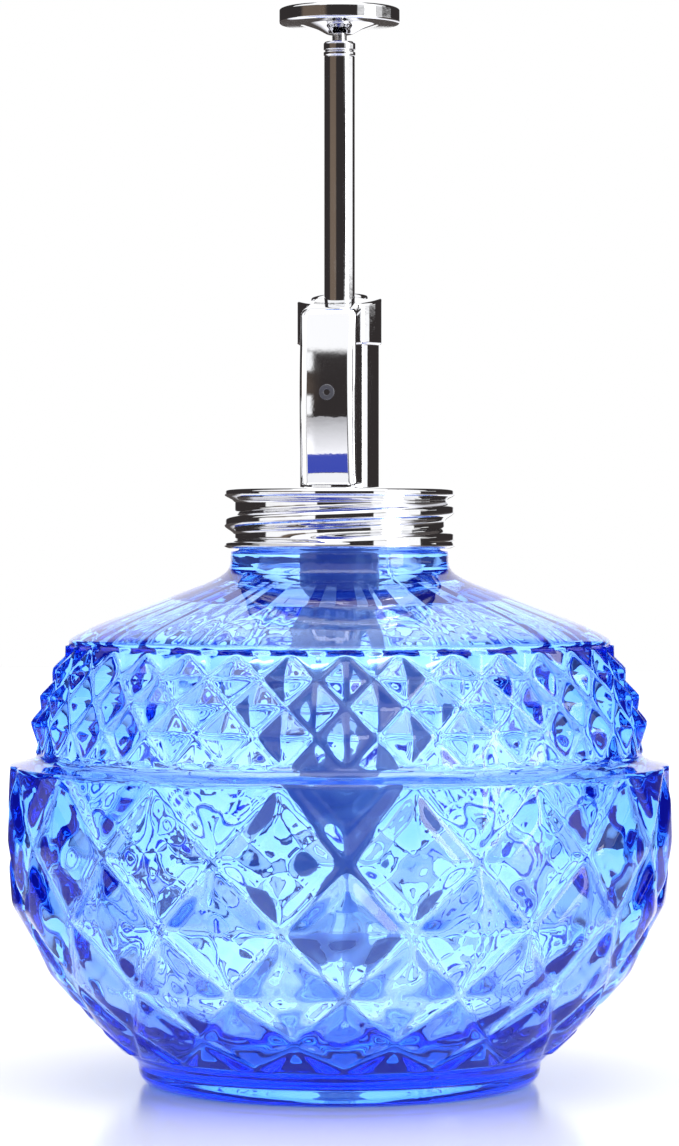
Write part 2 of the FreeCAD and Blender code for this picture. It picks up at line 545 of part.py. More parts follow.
thumb_disc = turned("thumb_disc", "disc_base", [
    ("stem_rod_radius + screw_slack", "0"), ("disc_hub_radius", "0", "- disc_cone_curve"),
    ("disc_cone_radius", "disc_hub_tall"),
    ("disc_radius - disc_low_round", "disc_hub_tall", "disc_low_round"),
    ("disc_radius", "disc_hub_tall + disc_low_round"),
    ("disc_radius", "disc_tall - disc_top_round", "disc_top_round"),
    ("disc_radius - disc_top_round", "disc_tall", "- disc_dish_curve"),
    ("0", "disc_tall - disc_dish"), ("0", "disc_socket_tall"),
    ("stem_rod_radius + screw_slack", "disc_socket_tall")])
piston_blank = turned("piston_blank", "piston_base", [
    ("piston_inlet_radius", "0"), ("piston_radius", "0"), ("piston_radius", "piston_groove_low"),
    ("piston_groove_radius", "piston_groove_low"), ("piston_groove_radius", "piston_groove_high"),
    ("piston_radius", "piston_groove_high"), ("piston_radius", "piston_land"),
    ("piston_hub_radius", "piston_land"), ("piston_hub_radius", "piston_tall"),
    ("rod_radius + screw_slack", "piston_tall"), ("rod_radius + screw_slack", "rod_socket_height"),
    ("piston_chamber_radius", "rod_socket_height"), ("piston_chamber_radius", "piston_seat_high"),
    ("piston_inlet_radius", "piston_seat_low")])
ports = [
    primitive("Cylinder", "piston_port_" + name, turn=Rotation(axis, 90), at=at,
              Radius="piston_port_radius", Height="10")
    for name, axis, at in (
        ("across", Vector(0, 1, 0), ("-5", "0", "piston_base + piston_port_height")),
        ("along", Vector(1, 0, 0), ("0", "5", "piston_base + piston_port_height")))]
piston = combine("Cut", "piston", piston_blank, ports)
piston_seal = turned("piston_seal", "piston_base + piston_groove_low", [
    ("piston_groove_radius + screw_slack", "0.05"), ("piston_lip_radius", "0.05"),
    ("piston_seal_radius", "0.4"), ("piston_seal_radius", "0.7"), ("piston_lip_radius", "0.9"),
    ("piston_seal_radius", "1.1"), ("piston_seal_radius", "1.4"), ("piston_lip_radius", "1.75"),
    ("piston_groove_radius + screw_slack", "1.75")])
outlet_ball = primitive("Sphere", "outlet_ball", at=("0", "0", "piston_base + outlet_ball_rise"),
                        Radius="outlet_ball_radius")

# ---------------------------------------------------------------- return spring
return_spring = doc.addObject("PartDesign::Body", "return_spring")
return_spring.Label = "return_spring"
wire = return_spring.newObject("Sketcher::SketchObject", "spring_wire")
wire.AttachmentSupport = [
    ([item for item in return_spring.Origin.OriginFeatures if item.Role == "XZ_Plane"][0], "")]
wire.MapMode = "FlatFace"
middle = Vector(SIZES["spring_mean_radius"], SIZES["spring_wire_radius"], 0)
wire.addGeometry(Part.Circle(middle, Vector(0, 0, 1), SIZES["spring_wire_radius"]), False)
for kind, ends, size in (("Radius", (0,), "spring_wire_radius"),
                         ("DistanceX", (-1, 1, 0, 3), "spring_mean_radius"),
                         ("DistanceY", (-1, 1, 0, 3), "spring_wire_radius")):
    tie = wire.addConstraint(Sketcher.Constraint(kind, *ends, SIZES[size]))
    wire.setExpression("Constraints[%d]" % tie, "Sizes." + size)
winding = return_spring.newObject("PartDesign::AdditiveHelix", "spring_winding")
winding.Profile = wire
winding.ReferenceAxis = (wire, ["V_Axis"])
winding.Mode = "height-turns-angle"
winding.setExpression("Turns", "Sizes.spring_turns")
winding.setExpression("Height", formula(
    "piston_base - seat_base - seat_tall - cage_tall - spring_wire_radius - spring_wire_radius"))
return_spring.Tip = winding
place(return_spring, z="seat_base + seat_tall + cage_tall")

# ---------------------------------------------------------------- check and export
PIECES = [glass_bottle, screw_cap, neck_gasket, pump_housing, rod_seal, guide_bush, nozzle_tip,
          nozzle_seal, swirl_core, pump_barrel, barrel_seal, inlet_seat, inlet_ball, inlet_cage,
          dip_tube, strainer, plunger_rod, plunger_tube, tube_collar, thumb_disc, piston,
          piston_seal, outlet_ball, return_spring]
doc.recompute()
for thing in doc.Objects:
    if {"Invalid", "Error"} & set(thing.State):
        raise RuntimeError(thing.Label + " did not recompute")
os.makedirs("parts", exist_ok=True)
for piece in PIECES:
    shape = piece.Shape
    if shape.isNull() or not shape.isValid() or len(shape.Solids) != 1:
        raise RuntimeError("%s is not one valid solid" % piece.Label)
    shape.exportStep("parts/%s.step" % piece.Label)
    print("%-14s %9.2f mm3  %4d faces" % (piece.Label, shape.Volume, len(shape.Faces)))
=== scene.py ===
# %% [markdown]
# # A perfume atomiser in pressed glass and chrome
# This lesson finishes an object whose mechanism is already designed: a round blue glass bottle
# with a lattice of diamonds, a screw closure, and a hand pump pressed by a thumb disc.

# %% Load the frame
import math

import bpy
import numpy as np
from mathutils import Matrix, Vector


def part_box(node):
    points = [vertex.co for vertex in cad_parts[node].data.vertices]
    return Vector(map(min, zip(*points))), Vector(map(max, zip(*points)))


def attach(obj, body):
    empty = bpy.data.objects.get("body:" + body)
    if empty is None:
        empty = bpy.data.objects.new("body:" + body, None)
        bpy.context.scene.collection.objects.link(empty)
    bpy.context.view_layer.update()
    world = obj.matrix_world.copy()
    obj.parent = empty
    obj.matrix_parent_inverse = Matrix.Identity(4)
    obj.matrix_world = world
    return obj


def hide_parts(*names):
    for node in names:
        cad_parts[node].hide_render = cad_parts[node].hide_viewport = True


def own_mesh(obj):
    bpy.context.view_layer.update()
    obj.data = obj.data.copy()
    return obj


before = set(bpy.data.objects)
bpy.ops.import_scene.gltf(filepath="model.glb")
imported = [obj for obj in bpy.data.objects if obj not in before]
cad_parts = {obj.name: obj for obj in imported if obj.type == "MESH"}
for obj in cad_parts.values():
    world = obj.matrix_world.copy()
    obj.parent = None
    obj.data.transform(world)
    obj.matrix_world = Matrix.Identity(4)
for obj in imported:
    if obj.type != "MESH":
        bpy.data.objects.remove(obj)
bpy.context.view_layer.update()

MM = 0.001
TAU = 2 * math.pi

# %% [markdown]
# ## The camera comes first
# A long lens from about two thirds of a metre keeps the verticals nearly parallel. The camera
# stands a little to the right of the nozzle, level with the top of the bottle's neck, so it looks
# slightly up at the disc and down on the foot.

# %% Camera
LENS_MM, SENSOR_MM = 134, 36
CAMERA_TURN = math.radians(10.1)
CAMERA_BACK = 0.640
CAMERA_HEIGHT = 0.086
CAMERA_DROP = math.radians(0.863)

camera = bpy.data.objects.new("camera", bpy.data.cameras.new("camera"))
camera.data.lens = LENS_MM
camera.data.sensor_width = SENSOR_MM
camera.location = (CAMERA_BACK * math.sin(CAMERA_TURN), -CAMERA_BACK * math.cos(CAMERA_TURN),
                   CAMERA_HEIGHT)
camera.rotation_euler = (math.pi / 2 - CAMERA_DROP, 0, CAMERA_TURN)
bpy.context.scene.collection.objects.link(camera)
bpy.context.scene.camera = camera
print("camera at", [round(part, 4) for part in camera.location])

# %% [markdown]
# ## Rings of points become a skin
# Nearly every piece here is round, so one helper turns an array of rings into a closed mesh.
# Neighbouring points of neighbouring rings make a face. The two ends are closed with a single
# point each, or the last ring joins the first, as in a tube with a wall.


# %% Skin helper
def skin(name, rings, loop=False, diagonals=None):
    """A closed mesh over rings[ring, point, xyz], given in millimetres and built in metres.

    Faces join point p of ring r to point p + 1 of ring r + 1. Unless loop is set, the mean point
    of the first and of the last ring closes that end. diagonals[ring, point] picks the way in
    which a face is cut into triangles. The signed volume, a sixth of the sum of a . (b x c) over
    all triangles, tells whether the faces point outwards, and turns them round if they don't.
    """
    count, around = rings.shape[:2]
    index = np.arange(count * around).reshape(count, around)
    below, above = (index, np.roll(index, -1, 0)) if loop else (index[:-1], index[1:])
    beside, over = np.roll(below, -1, 1), np.roll(above, -1, 1)
    rings = rings * MM
    points = rings.reshape(-1, 3)
    quads = np.stack([below, beside, over, above], -1)
    if diagonals is None:
        faces = quads.reshape(-1, 4).tolist()
    else:
        cut = diagonals[..., None]
        first = np.where(cut, quads[..., [0, 1, 2]], quads[..., [0, 1, 3]])
        second = np.where(cut, quads[..., [0, 2, 3]], quads[..., [1, 2, 3]])
        faces = np.stack([first, second], 2).reshape(-1, 3).tolist()
    if not loop:
        ends = np.stack([rings[0].mean(0), rings[-1].mean(0)])
        low, high = count * around, count * around + 1
        points = np.concatenate([points, ends])
        faces += np.stack([np.roll(index[0], -1), index[0], np.full(around, low)], -1).tolist()
        faces += np.stack([index[-1], np.roll(index[-1], -1), np.full(around, high)], -1).tolist()
    corners = points[np.array([face[:3] for face in faces])]
    signed = np.einsum("ij,ij->i", corners[:, 0], np.cross(corners[:, 1], corners[:, 2])).sum()
    fourth = [face for face in faces if len(face) == 4]
    if fourth:
        corners = points[np.array(fourth)[:, [0, 2, 3]]]
        signed += np.einsum("ij,ij->i", corners[:, 0],
                            np.cross(corners[:, 1], corners[:, 2])).sum()
    if signed < 0:
        faces = [face[::-1] for face in faces]
    mesh = bpy.data.meshes.new(name)
    mesh.from_pydata(points.tolist(), [], faces)
    mesh.shade_smooth()
    piece = bpy.data.objects.new(name, mesh)
    bpy.context.scene.collection.objects.link(piece)
    print(f"{name}: {len(points)} points, {abs(signed) / 6 / MM ** 3:.0f} cubic mm")
    return piece


# %% [markdown]
# ## Profiles with soft corners
# Metal and glass never end in a perfect edge, and a highlight needs a small round to sit on. A
# profile is written as its corner points, each with the length that its rounding takes from both
# sides. A quadratic curve replaces the corner: (1-t)^2 before + 2t(1-t) corner + t^2 after. A
# guard point a fifth of the rounding outside each curve keeps the flat stretches beside it flat
# when normals are smoothed. It is left out where the curve takes two fifths of its side or more.

# %% Rounding limits
MOST_OF_SIDE = 0.49
GUARD_LIMIT = 0.4
GUARD_STEP = 0.2
print("a rounding takes up to", MOST_OF_SIDE, "of a side")


# %% Profile helper
def profile(corners, steps=5):
    """An array of (radius, height) along corners (radius, height, rounding), in millimetres."""
    spots = np.array([corner[:2] for corner in corners], float)
    line = [spots[0]]
    for before, spot, after, corner in zip(spots, spots[1:], spots[2:], corners[1:]):
        rounding = corner[2] if len(corner) > 2 else 0
        if rounding <= 0:
            line.append(spot)
            continue
        back, on = before - spot, after - spot
        reach = [min(rounding, MOST_OF_SIDE * np.linalg.norm(side)) for side in (back, on)]
        start = spot + back / np.linalg.norm(back) * reach[0]
        end = spot + on / np.linalg.norm(on) * reach[1]
        share = np.linspace(0, 1, steps)[:, None]
        curve = (1 - share) ** 2 * start + 2 * share * (1 - share) * spot + share ** 2 * end
        if reach[0] < GUARD_LIMIT * np.linalg.norm(back):
            line.append(start + (start - spot) * GUARD_STEP)
        line.extend(curve)
        if reach[1] < GUARD_LIMIT * np.linalg.norm(on):
            line.append(end + (end - spot) * GUARD_STEP)
    line.append(spots[-1])
    return np.array(line)


# %% Lathe helpers
def around_axis(radius, angle, height):
    """Points at a radius, an angle and a height, as an array (..., xyz)."""
    return np.stack(np.broadcast_arrays(radius * np.cos(angle), radius * np.sin(angle), height), -1)


def circle(count):
    """The angles of count points round a circle, from the front, -Y: -pi / 2 + 2 pi i / count."""
    return -math.pi / 2 + np.arange(count) * TAU / count


def turned(line, count):
    """Rings from a profile: each (radius, height) becomes a circle of count points about +Z."""
    return around_axis(line[:, :1], circle(count), line[:, 1:])


# %% Finishing helper
def finish_piece(piece, material, body, nodes):
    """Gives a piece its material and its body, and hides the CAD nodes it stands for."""
    piece.data.materials.append(material)
    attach(piece, body)
    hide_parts(*nodes)


# %% [markdown]
# ## Shader groups shared by the finishes
# Two small groups serve every material. One drifts slowly between two colours, because no cast,
# moulded or plated surface has one even colour. The other gives a roughness that varies like
# faint smears, and a height for a bump. Both read Object coordinates, so they stay with the piece.


# %% Shader group helpers
def new_group(name, inputs, outputs):
    """An empty shader group with float inputs given as name: default, or colours as tuples."""
    group = bpy.data.node_groups.new(name, "ShaderNodeTree")
    for label, default in inputs.items():
        kind = "NodeSocketColor" if isinstance(default, tuple) else "NodeSocketFloat"
        group.interface.new_socket(label, in_out="INPUT", socket_type=kind).default_value = default
    for label, kind in outputs.items():
        group.interface.new_socket(label, in_out="OUTPUT", socket_type="NodeSocket" + kind)
    return group, group.nodes.new("NodeGroupInput"), group.nodes.new("NodeGroupOutput")


def noise(tree, scale, detail):
    """A noise texture on Object coordinates, whose scale comes from a socket."""
    place = tree.nodes.new("ShaderNodeTexCoord")
    texture = tree.nodes.new("ShaderNodeTexNoise")
    texture.inputs["Detail"].default_value = detail
    tree.links.new(place.outputs["Object"], texture.inputs["Vector"])
    tree.links.new(scale, texture.inputs["Scale"])
    return texture


# %% The two groups
DRIFT_DETAIL, SMEAR_DETAIL, GRAIN_DETAIL = 3, 5, 2
SMEAR_LOW, SMEAR_HIGH = 0.35, 0.7


def make_drift():
    """Colour drift: a mix of two colours by a soft noise."""
    group, given, put = new_group(
        "colour_drift", {"First": (1, 1, 1, 1), "Second": (0.8, 0.8, 0.8, 1), "Scale": 60.0},
        {"Color": "Color"})
    texture = noise(group, given.outputs["Scale"], DRIFT_DETAIL)
    mix = group.nodes.new("ShaderNodeMix")
    mix.data_type = "RGBA"
    group.links.new(texture.outputs["Fac"], mix.inputs["Factor"])
    group.links.new(given.outputs["First"], mix.inputs["A"])
    group.links.new(given.outputs["Second"], mix.inputs["B"])
    group.links.new(mix.outputs["Result"], put.inputs["Color"])
    return group


def make_marks():
    """Surface marks: a noise mapped to a range of roughness, and a finer one as a height.

    Roughness goes in a straight line from Least where the noise is SMEAR_LOW to Most where it is
    SMEAR_HIGH.
    """
    group, given, put = new_group(
        "surface_marks", {"Scale": 90.0, "Least": 0.02, "Most": 0.06, "Grain": 600.0},
        {"Roughness": "Float", "Height": "Float"})
    smear = noise(group, given.outputs["Scale"], SMEAR_DETAIL)
    fit = group.nodes.new("ShaderNodeMapRange")
    fit.inputs["From Min"].default_value = SMEAR_LOW
    fit.inputs["From Max"].default_value = SMEAR_HIGH
    group.links.new(smear.outputs["Fac"], fit.inputs["Value"])
    group.links.new(given.outputs["Least"], fit.inputs["To Min"])
    group.links.new(given.outputs["Most"], fit.inputs["To Max"])
    grain = noise(group, given.outputs["Grain"], GRAIN_DETAIL)
    group.links.new(fit.outputs["Result"], put.inputs["Roughness"])
    group.links.new(grain.outputs["Fac"], put.inputs["Height"])
    return group


DRIFT, MARKS = make_drift(), make_marks()
print("groups:", DRIFT.name, MARKS.name)


# %% Material helper
BUMP_DEPTH = 0.0002


def material(name, first, second, least, most, bump=0.02, drift_scale=60, marks_scale=90,
             grain=600, **sockets):
    """A Principled material: drifting colour, marked roughness, fine bump, plain other sockets."""
    made = bpy.data.materials.new(name)
    made.use_nodes = True
    tree = made.node_tree
    shader = tree.nodes["Principled BSDF"]
    drift = tree.nodes.new("ShaderNodeGroup")
    drift.node_tree = DRIFT
    drift.inputs["First"].default_value = (*first, 1)
    drift.inputs["Second"].default_value = (*second, 1)
    drift.inputs["Scale"].default_value = drift_scale
    marks = tree.nodes.new("ShaderNodeGroup")
    marks.node_tree = MARKS
    marks.inputs["Scale"].default_value = marks_scale
    marks.inputs["Least"].default_value = least
    marks.inputs["Most"].default_value = most
    marks.inputs["Grain"].default_value = grain
    relief = tree.nodes.new("ShaderNodeBump")
    relief.inputs["Strength"].default_value = bump
    relief.inputs["Distance"].default_value = BUMP_DEPTH
    tree.links.new(drift.outputs["Color"], shader.inputs["Base Color"])
    tree.links.new(marks.outputs["Roughness"], shader.inputs["Roughness"])
    tree.links.new(marks.outputs["Height"], relief.inputs["Height"])
    tree.links.new(relief.outputs["Normal"], shader.inputs["Normal"])
    for socket, value in sockets.items():
        shader.inputs[socket.replace("_", " ")].default_value = value
    return made


# %% [markdown]
# ## The finishes
# Blue glass gets its colour from depth: a thin wall is pale, the thick foot is deep blue. So the
# surface itself is almost clear, and a volume inside it absorbs red most and green by half. Light
# that is trapped in the foot would end as black patches, so the glass gives off a trace of blue.
# Chrome is a metal with a very low, slightly smeared roughness. The other parts are white, dark,
# smoky or clear plastic, nitrile rubber and drawn steel.

# %% Glass
GLASS_GLOW, GLASS_GLOW_STRENGTH = (0.004, 0.03, 1.0, 1), 0.045
GLASS_PASSES, GLASS_DENSITY = (0.0, 0.54, 0.992, 1), 112
blue_glass = material("blue_glass", (0.96, 0.98, 1.0), (0.88, 0.94, 1.0), 0.0, 0.01, bump=0.12,
                      drift_scale=25, marks_scale=40, grain=260, IOR=1.5, Transmission_Weight=1.0,
                      Emission_Color=GLASS_GLOW, Emission_Strength=GLASS_GLOW_STRENGTH)
depth = blue_glass.node_tree.nodes.new("ShaderNodeVolumeAbsorption")
depth.inputs["Color"].default_value = GLASS_PASSES
depth.inputs["Density"].default_value = GLASS_DENSITY
blue_glass.node_tree.links.new(depth.outputs["Volume"],
                               blue_glass.node_tree.nodes["Material Output"].inputs["Volume"])
print(blue_glass.name, "lets through", GLASS_PASSES[:3], "at density", GLASS_DENSITY)

# %% Metals
chrome = material("polished_chrome", (0.93, 0.93, 0.94), (0.85, 0.86, 0.89), 0.02, 0.07,
                  bump=0.015, drift_scale=45, marks_scale=120, grain=900, Metallic=1.0)
steel = material("bright_steel", (0.68, 0.67, 0.66), (0.55, 0.55, 0.56), 0.12, 0.3, bump=0.06,
                 drift_scale=200, marks_scale=300, grain=1500, Metallic=1.0)
print("metals:", chrome.name, steel.name)

# %% Plastics and rubber
acetal = material("white_acetal", (0.86, 0.87, 0.86), (0.76, 0.78, 0.79), 0.25, 0.4, bump=0.05,
                  Subsurface_Weight=0.15, Subsurface_Scale=0.002)
smoke_plastic = material("smoke_plastic", (0.2, 0.22, 0.28), (0.26, 0.28, 0.34), 0.2, 0.35,
                         bump=0.05)
dark_plastic = material("dark_plastic", (0.035, 0.035, 0.045), (0.07, 0.07, 0.085), 0.3, 0.5,
                        bump=0.08)
rubber = material("nitrile_rubber", (0.03, 0.03, 0.032), (0.06, 0.058, 0.06), 0.45, 0.7,
                  bump=0.15, grain=1800)
clear_plastic = material("clear_plastic", (0.95, 0.97, 0.98), (0.86, 0.9, 0.94), 0.04, 0.12,
                         bump=0.03, IOR=1.46, Transmission_Weight=0.85)
print("plastics:", [made.name for made in (acetal, smoke_plastic, dark_plastic, clear_plastic)])
print("rubber:", rubber.name)

# %% [markdown]
# ## The lattice of the bottle
# The bottle's lower band is a lattice of sixteen large diamonds, the upper band one of thirty-two
# small ones. We work in lattice steps: a counts half diamonds round the bottle and b counts rows
# of corners down it. Corners sit where a + b is even, peaks where it is odd. Adding and
# subtracting a and b turns the lattice by 45 degrees, which makes every diamond a square, so the
# diamond that holds a point is found by rounding. Inside a diamond all is flat facets.


# %% Points on a facet
def on_plane(first, second, third, angle, height):
    """Where the plane through three points meets the ray at an angle and a height.

    With n the plane's normal, the radius is (n . first - n_z height) / (n_x cos + n_y sin).
    """
    normal = np.cross(second - first, third - first)
    reach = normal[..., 0] * np.cos(angle) + normal[..., 1] * np.sin(angle)
    radius = ((normal * first).sum(-1) - normal[..., 2] * height) / reach
    return around_axis(radius, angle, height)


# %% Facets of a diamond
def lattice(heights, corners, peaks, around, cells, share=0.0, swell=0.0):
    """Points of a band of diamonds, in millimetres, from its top row of corners to its bottom one.

    heights, corners and peaks give each row's height, radius at the corners and radius at the
    peaks. A plain diamond is four triangles to its peak. A framed one (share > 0) has an inner
    diamond of that share, pushed out by swell, with a flat bevel out to the corners.
    """
    heights, corners, peaks = (np.array(value, float) for value in (heights, corners, peaks))
    half = math.pi / around
    a, b = np.meshgrid(np.arange(2 * around * cells) / cells,
                       np.arange((len(heights) - 1) * cells + 1) / cells)
    sum_ring, gap_ring = 2 * np.floor((a + b) / 2) + 1, 2 * np.floor((a - b) / 2) + 1
    column, row = (sum_ring + gap_ring) / 2, ((sum_ring - gap_ring) / 2).astype(int)
    across, along = a - column, b - row
    side, end = np.where(across < 0, -1, 1), np.where((along < 0) | (row == len(heights) - 1), -1, 1)
    end = np.where(row == 0, 1, end)
    across, along = np.abs(across), np.abs(along)
    middle, beside = -math.pi / 2 + column * half, -math.pi / 2 + (column + side) * half
    tip = around_axis(peaks[row], middle, heights[row])
    flank = around_axis(corners[row], beside, heights[row])
    point = around_axis(corners[row + end], middle, heights[row + end])
    if not share:
        return tip + across[..., None] * (flank - tip) + along[..., None] * (point - tip)
    inner_flank = flank + (1 - share) * (tip - flank)
    outward = inner_flank * [1, 1, 0]
    inner_flank = inner_flank + outward / np.linalg.norm(outward, axis=-1, keepdims=True) * swell
    inner_point = on_plane(point, flank, inner_flank, middle,
                           heights[row] + share * (heights[row + end] - heights[row]))
    level = across + along
    inner = (tip + across[..., None] / share * (inner_flank - tip)
             + along[..., None] / share * (inner_point - tip))
    outer = (np.clip((level - share) / (1 - share), 0, 1))[..., None]
    on_flank = inner_flank + outer * (flank - inner_flank)
    on_point = inner_point + outer * (point - inner_point)
    turn = (across / np.maximum(level, 1e-9))[..., None]
    return np.where((level <= share)[..., None], inner, on_point + turn * (on_flank - on_point))


def cut_ways(rows, columns, cells):
    """Which way each face is cut, so that the cuts follow the edges of the diamonds.

    Blocks of cells by cells faces take turns, as the fields of a chessboard do: the answer is yes
    where the numbers of a block's row and column add up to an odd number.
    """
    block = np.arange(rows)[:, None] // cells + np.arange(columns)[None, :] // cells
    return block % 2 == 1


# %% [markdown]
# ## The whole bottle as one closed surface
# From the middle of the base the surface runs out under the foot, up over both bands, across the
# plain shoulder and the threaded neck, over the mouth, and down the inner wall to the floor. One
# closed skin with a wall of real thickness is what makes glass refract as glass does.

# %% Bottle sizes
LARGE = dict(
    heights=(47.7, 36.6, 26.7, 17.1, 10.1, 5.3), corners=(48.6, 48.7, 47.2, 42.3, 36.6, 32.0),
    peaks=(49.4, 50.1, 49.2, 43.9, 37.9, 32.9), around=16, cells=14, share=9 / 14, swell=0.75)
SMALL = dict(
    heights=(65.6, 62.1, 58.2, 54.1, 49.6), corners=(39.6, 41.3, 43.1, 44.6, 45.0),
    peaks=(41.2, 43.2, 45.1, 46.5, 45.6), around=32, cells=7)
COLUMNS = 2 * LARGE["around"] * LARGE["cells"]
NECK_RADIUS, MOUTH_RADIUS, MOUTH_HIGH = 15.1, 12.2, 86.6
print("points round the bottle:", COLUMNS)

# %% Bottle outline below, between and above the bands
FOOT = profile([(6, 2.6), (22, 2.6, 2), (24.2, 1.9, 1.2), (25.8, 0, 0.7), (28.8, 0, 0.9),
                (30.2, 1.4, 1.0), (30.2, 3.3, 0.8), (31.5, 4.6, 0.6), (31.8, 5.2)])
LEDGE = profile([(48.3, 47.75), (46.1, 48.4, 0.6), (45.4, 49.1, 0.4), (45.3, 49.5)], steps=4)
SHOULDER = profile([(40.6, 65.7), (40.6, 66.4, 0.5), (39.2, 67.3, 0.8), (36.5, 68.6, 2.5),
                    (18.6, 75.4, 2.2), (16.35, 77.0, 1.2), (16.35, 79.6, 0.3),
                    (NECK_RADIUS, 79.8, 0.2), (NECK_RADIUS, 80.4)])
MOUTH = profile([(NECK_RADIUS, 86.0), (NECK_RADIUS, MOUTH_HIGH, 0.4),
                 (MOUTH_RADIUS, MOUTH_HIGH, 0.5), (MOUTH_RADIUS, 75.6, 2.2),
                 (14.4, 73.9, 1.4), (23.5, 70.3)], steps=4)
INSIDE = profile([(23.5, 70.3), (33.2, 66.4, 4), (37.5, 62.3, 5), (40.3, 53.0, 7), (44.0, 41, 4),
                  (44.0, 33.0, 9), (41, 21, 8), (35, 12.5, 6), (27.5, 8.0, 6), (6, 8.0)], steps=4)
print("outline points:", [len(line) for line in (FOOT, LEDGE, SHOULDER, MOUTH, INSIDE)])

# %% Thread sizes
PITCH, FADES_A_TURN = 4.05, 8
THREAD_START, THREAD_TURNS = math.radians(-60), 1.1
THREAD_LOW, THREAD_DEPTH, THREAD_HALF = 81.1, 1.2, 1.1
NECK_LOW, NECK_HIGH, NECK_RINGS = 80.5, 85.9, 17
print("the thread climbs", PITCH, "mm a turn")


# %% Thread on the neck
def ridge(distance, half, flat=0.0):
    """A smooth rib: full over its flat middle, then half of 1 + cos down to nothing at half."""
    return 0.5 + 0.5 * np.cos(math.pi * np.clip((np.abs(distance) - flat) / (half - flat), 0, 1))


def helical_rib(angle, height, start_angle, start_height, turns, half, flat=0.0):
    """How much of a helical rib is at each angle and height.

    The rib's middle climbs PITCH a turn. Over the first and the last eighth of a turn, f from 0
    to 1, it fades by f^2 (3 - 2 f).
    """
    travel = (height - start_height) / PITCH
    lap = np.round(travel - (angle - start_angle) / TAU)
    along = (angle - start_angle) / TAU + lap
    fade = np.clip(np.minimum(along, turns - along) * FADES_A_TURN, 0, 1)
    rib = ridge(height - start_height - along * PITCH, half, flat)
    return rib * fade * fade * (3 - 2 * fade)


neck_heights = np.linspace(NECK_LOW, NECK_HIGH, NECK_RINGS)[:, None]
bottle_angle = circle(COLUMNS)
neck_radius = NECK_RADIUS + THREAD_DEPTH * helical_rib(
    bottle_angle, neck_heights, THREAD_START, THREAD_LOW, THREAD_TURNS, THREAD_HALF)
neck_rings = around_axis(neck_radius, bottle_angle, neck_heights)
print("neck from", neck_radius.min(), "to", neck_radius.max().round(2), "mm in radius")


# %% [markdown]
# ## The inner wall
# Glass that takes its pattern from a mould often keeps an echo of it inside, and its wall is
# never quite even. Both bend the light that passes, which brings the facets to life. So the inner
# wall bulges out a little behind each diamond, and a few long waves run over it.

# %% Sizes of the unevenness
ECHO_LARGE, ECHO_SMALL, INNER_RINGS = 0.8, 0.1, 84
INSET_FROM, INSET_OVER = 20, 15
STREAKS_FROM, STREAKS_OVER = 60, 6
# A wave is its size in mm, its count round the bottle, its climb in radians a mm, and its start.
WAVES = ((0.12, 9, 0.37, 0), (0.10, 17, -0.61, 1), (0.07, 29, 0.9, 2), (0.03, 53, -1.3, 0))
STREAKS = ((0.16, 23, 0, 1), (0.12, 37, 0, 2), (0.08, 61, 0, 0))
print("waves over the inner wall:", len(WAVES), "and streaks down the shoulder:", len(STREAKS))


# %% Inner wall
def evenly(line, count):
    """The same line with its points spaced evenly along its length."""
    run = np.concatenate([[0], np.cumsum(np.linalg.norm(np.diff(line, axis=0), axis=1))])
    spots = np.linspace(0, run[-1], count)
    return np.stack([np.interp(spots, run, line[:, axis]) for axis in range(line.shape[1])], -1)


def echo(angle, height, band, depth):
    """How far the inner wall follows a band: depth where a diamond stands out, 0 at corners.

    In lattice steps a and b it is depth * (1 - cos(pi a) cos(pi b)) / 2, faded out at both ends.
    """
    a = (angle + math.pi / 2) * band["around"] / math.pi
    b = np.interp(-height, -np.array(band["heights"]), np.arange(len(band["heights"])))
    ends = np.sin(math.pi * np.clip(b / (len(band["heights"]) - 1), 0, 1)) ** 0.5
    return depth * ends * (1 - np.cos(math.pi * a) * np.cos(math.pi * b)) / 2


def ripple(waves, angle, height):
    """The sum of size * sin(count * angle + climb * height + start) over the waves."""
    return sum(size * np.sin(count * angle + climb * height + start)
               for size, count, climb, start in waves)


def uneven(angle, height):
    """The unevenness of the wall: waves that run round and up it everywhere, and streaks that run
    straight down the shoulder, which come in over STREAKS_OVER above STREAKS_FROM."""
    eased = np.clip((height - STREAKS_FROM) / STREAKS_OVER, 0, 1)
    return ripple(WAVES, angle, height) + eased * ripple(STREAKS, angle, height)


def inner_rings(line, angle):
    """The inner wall: the profile, pushed out behind the diamonds, and slightly uneven.

    Both come in from nothing at radius INSET_FROM, over INSET_OVER, so the neck stays round.
    """
    radius, height = line[:, :1], line[:, 1:]
    inset = np.clip((radius - INSET_FROM) / INSET_OVER, 0, 1)
    pushed = radius + inset * (echo(angle, height, LARGE, ECHO_LARGE)
                               + echo(angle, height, SMALL, ECHO_SMALL) + uneven(angle, height))
    return around_axis(pushed, angle, height)


# %% Soft edges and the joint line
LARGE_PASSES, SMALL_PASSES = 2, 1
SEAM_ANGLE, SEAM_HEIGHT = math.radians(-54), 0.12


def soften(points, passes):
    """Rounds the facets' edges: each point moves to a weighted mean of its neighbours, 1-4-1
    round the bottle and then 1-4-1 up it. The first and last rings stay."""
    for _ in range(passes):
        points = (np.roll(points, 1, 1) + 4 * points + np.roll(points, -1, 1)) / 6
        points[1:-1] = (points[:-2] + 4 * points[1:-1] + points[2:]) / 6
    return points


def seam(rings, angle, height):
    """The mould's joint line: a rib on the columns nearest to an angle and opposite it."""
    for place in (angle, angle + math.pi):
        column = int(round((place + math.pi / 2) / TAU * COLUMNS)) % COLUMNS
        outward = rings[:, column] * [1, 1, 0]
        outward /= np.linalg.norm(outward, axis=-1, keepdims=True)
        rings[:, column] += outward * height
    return rings


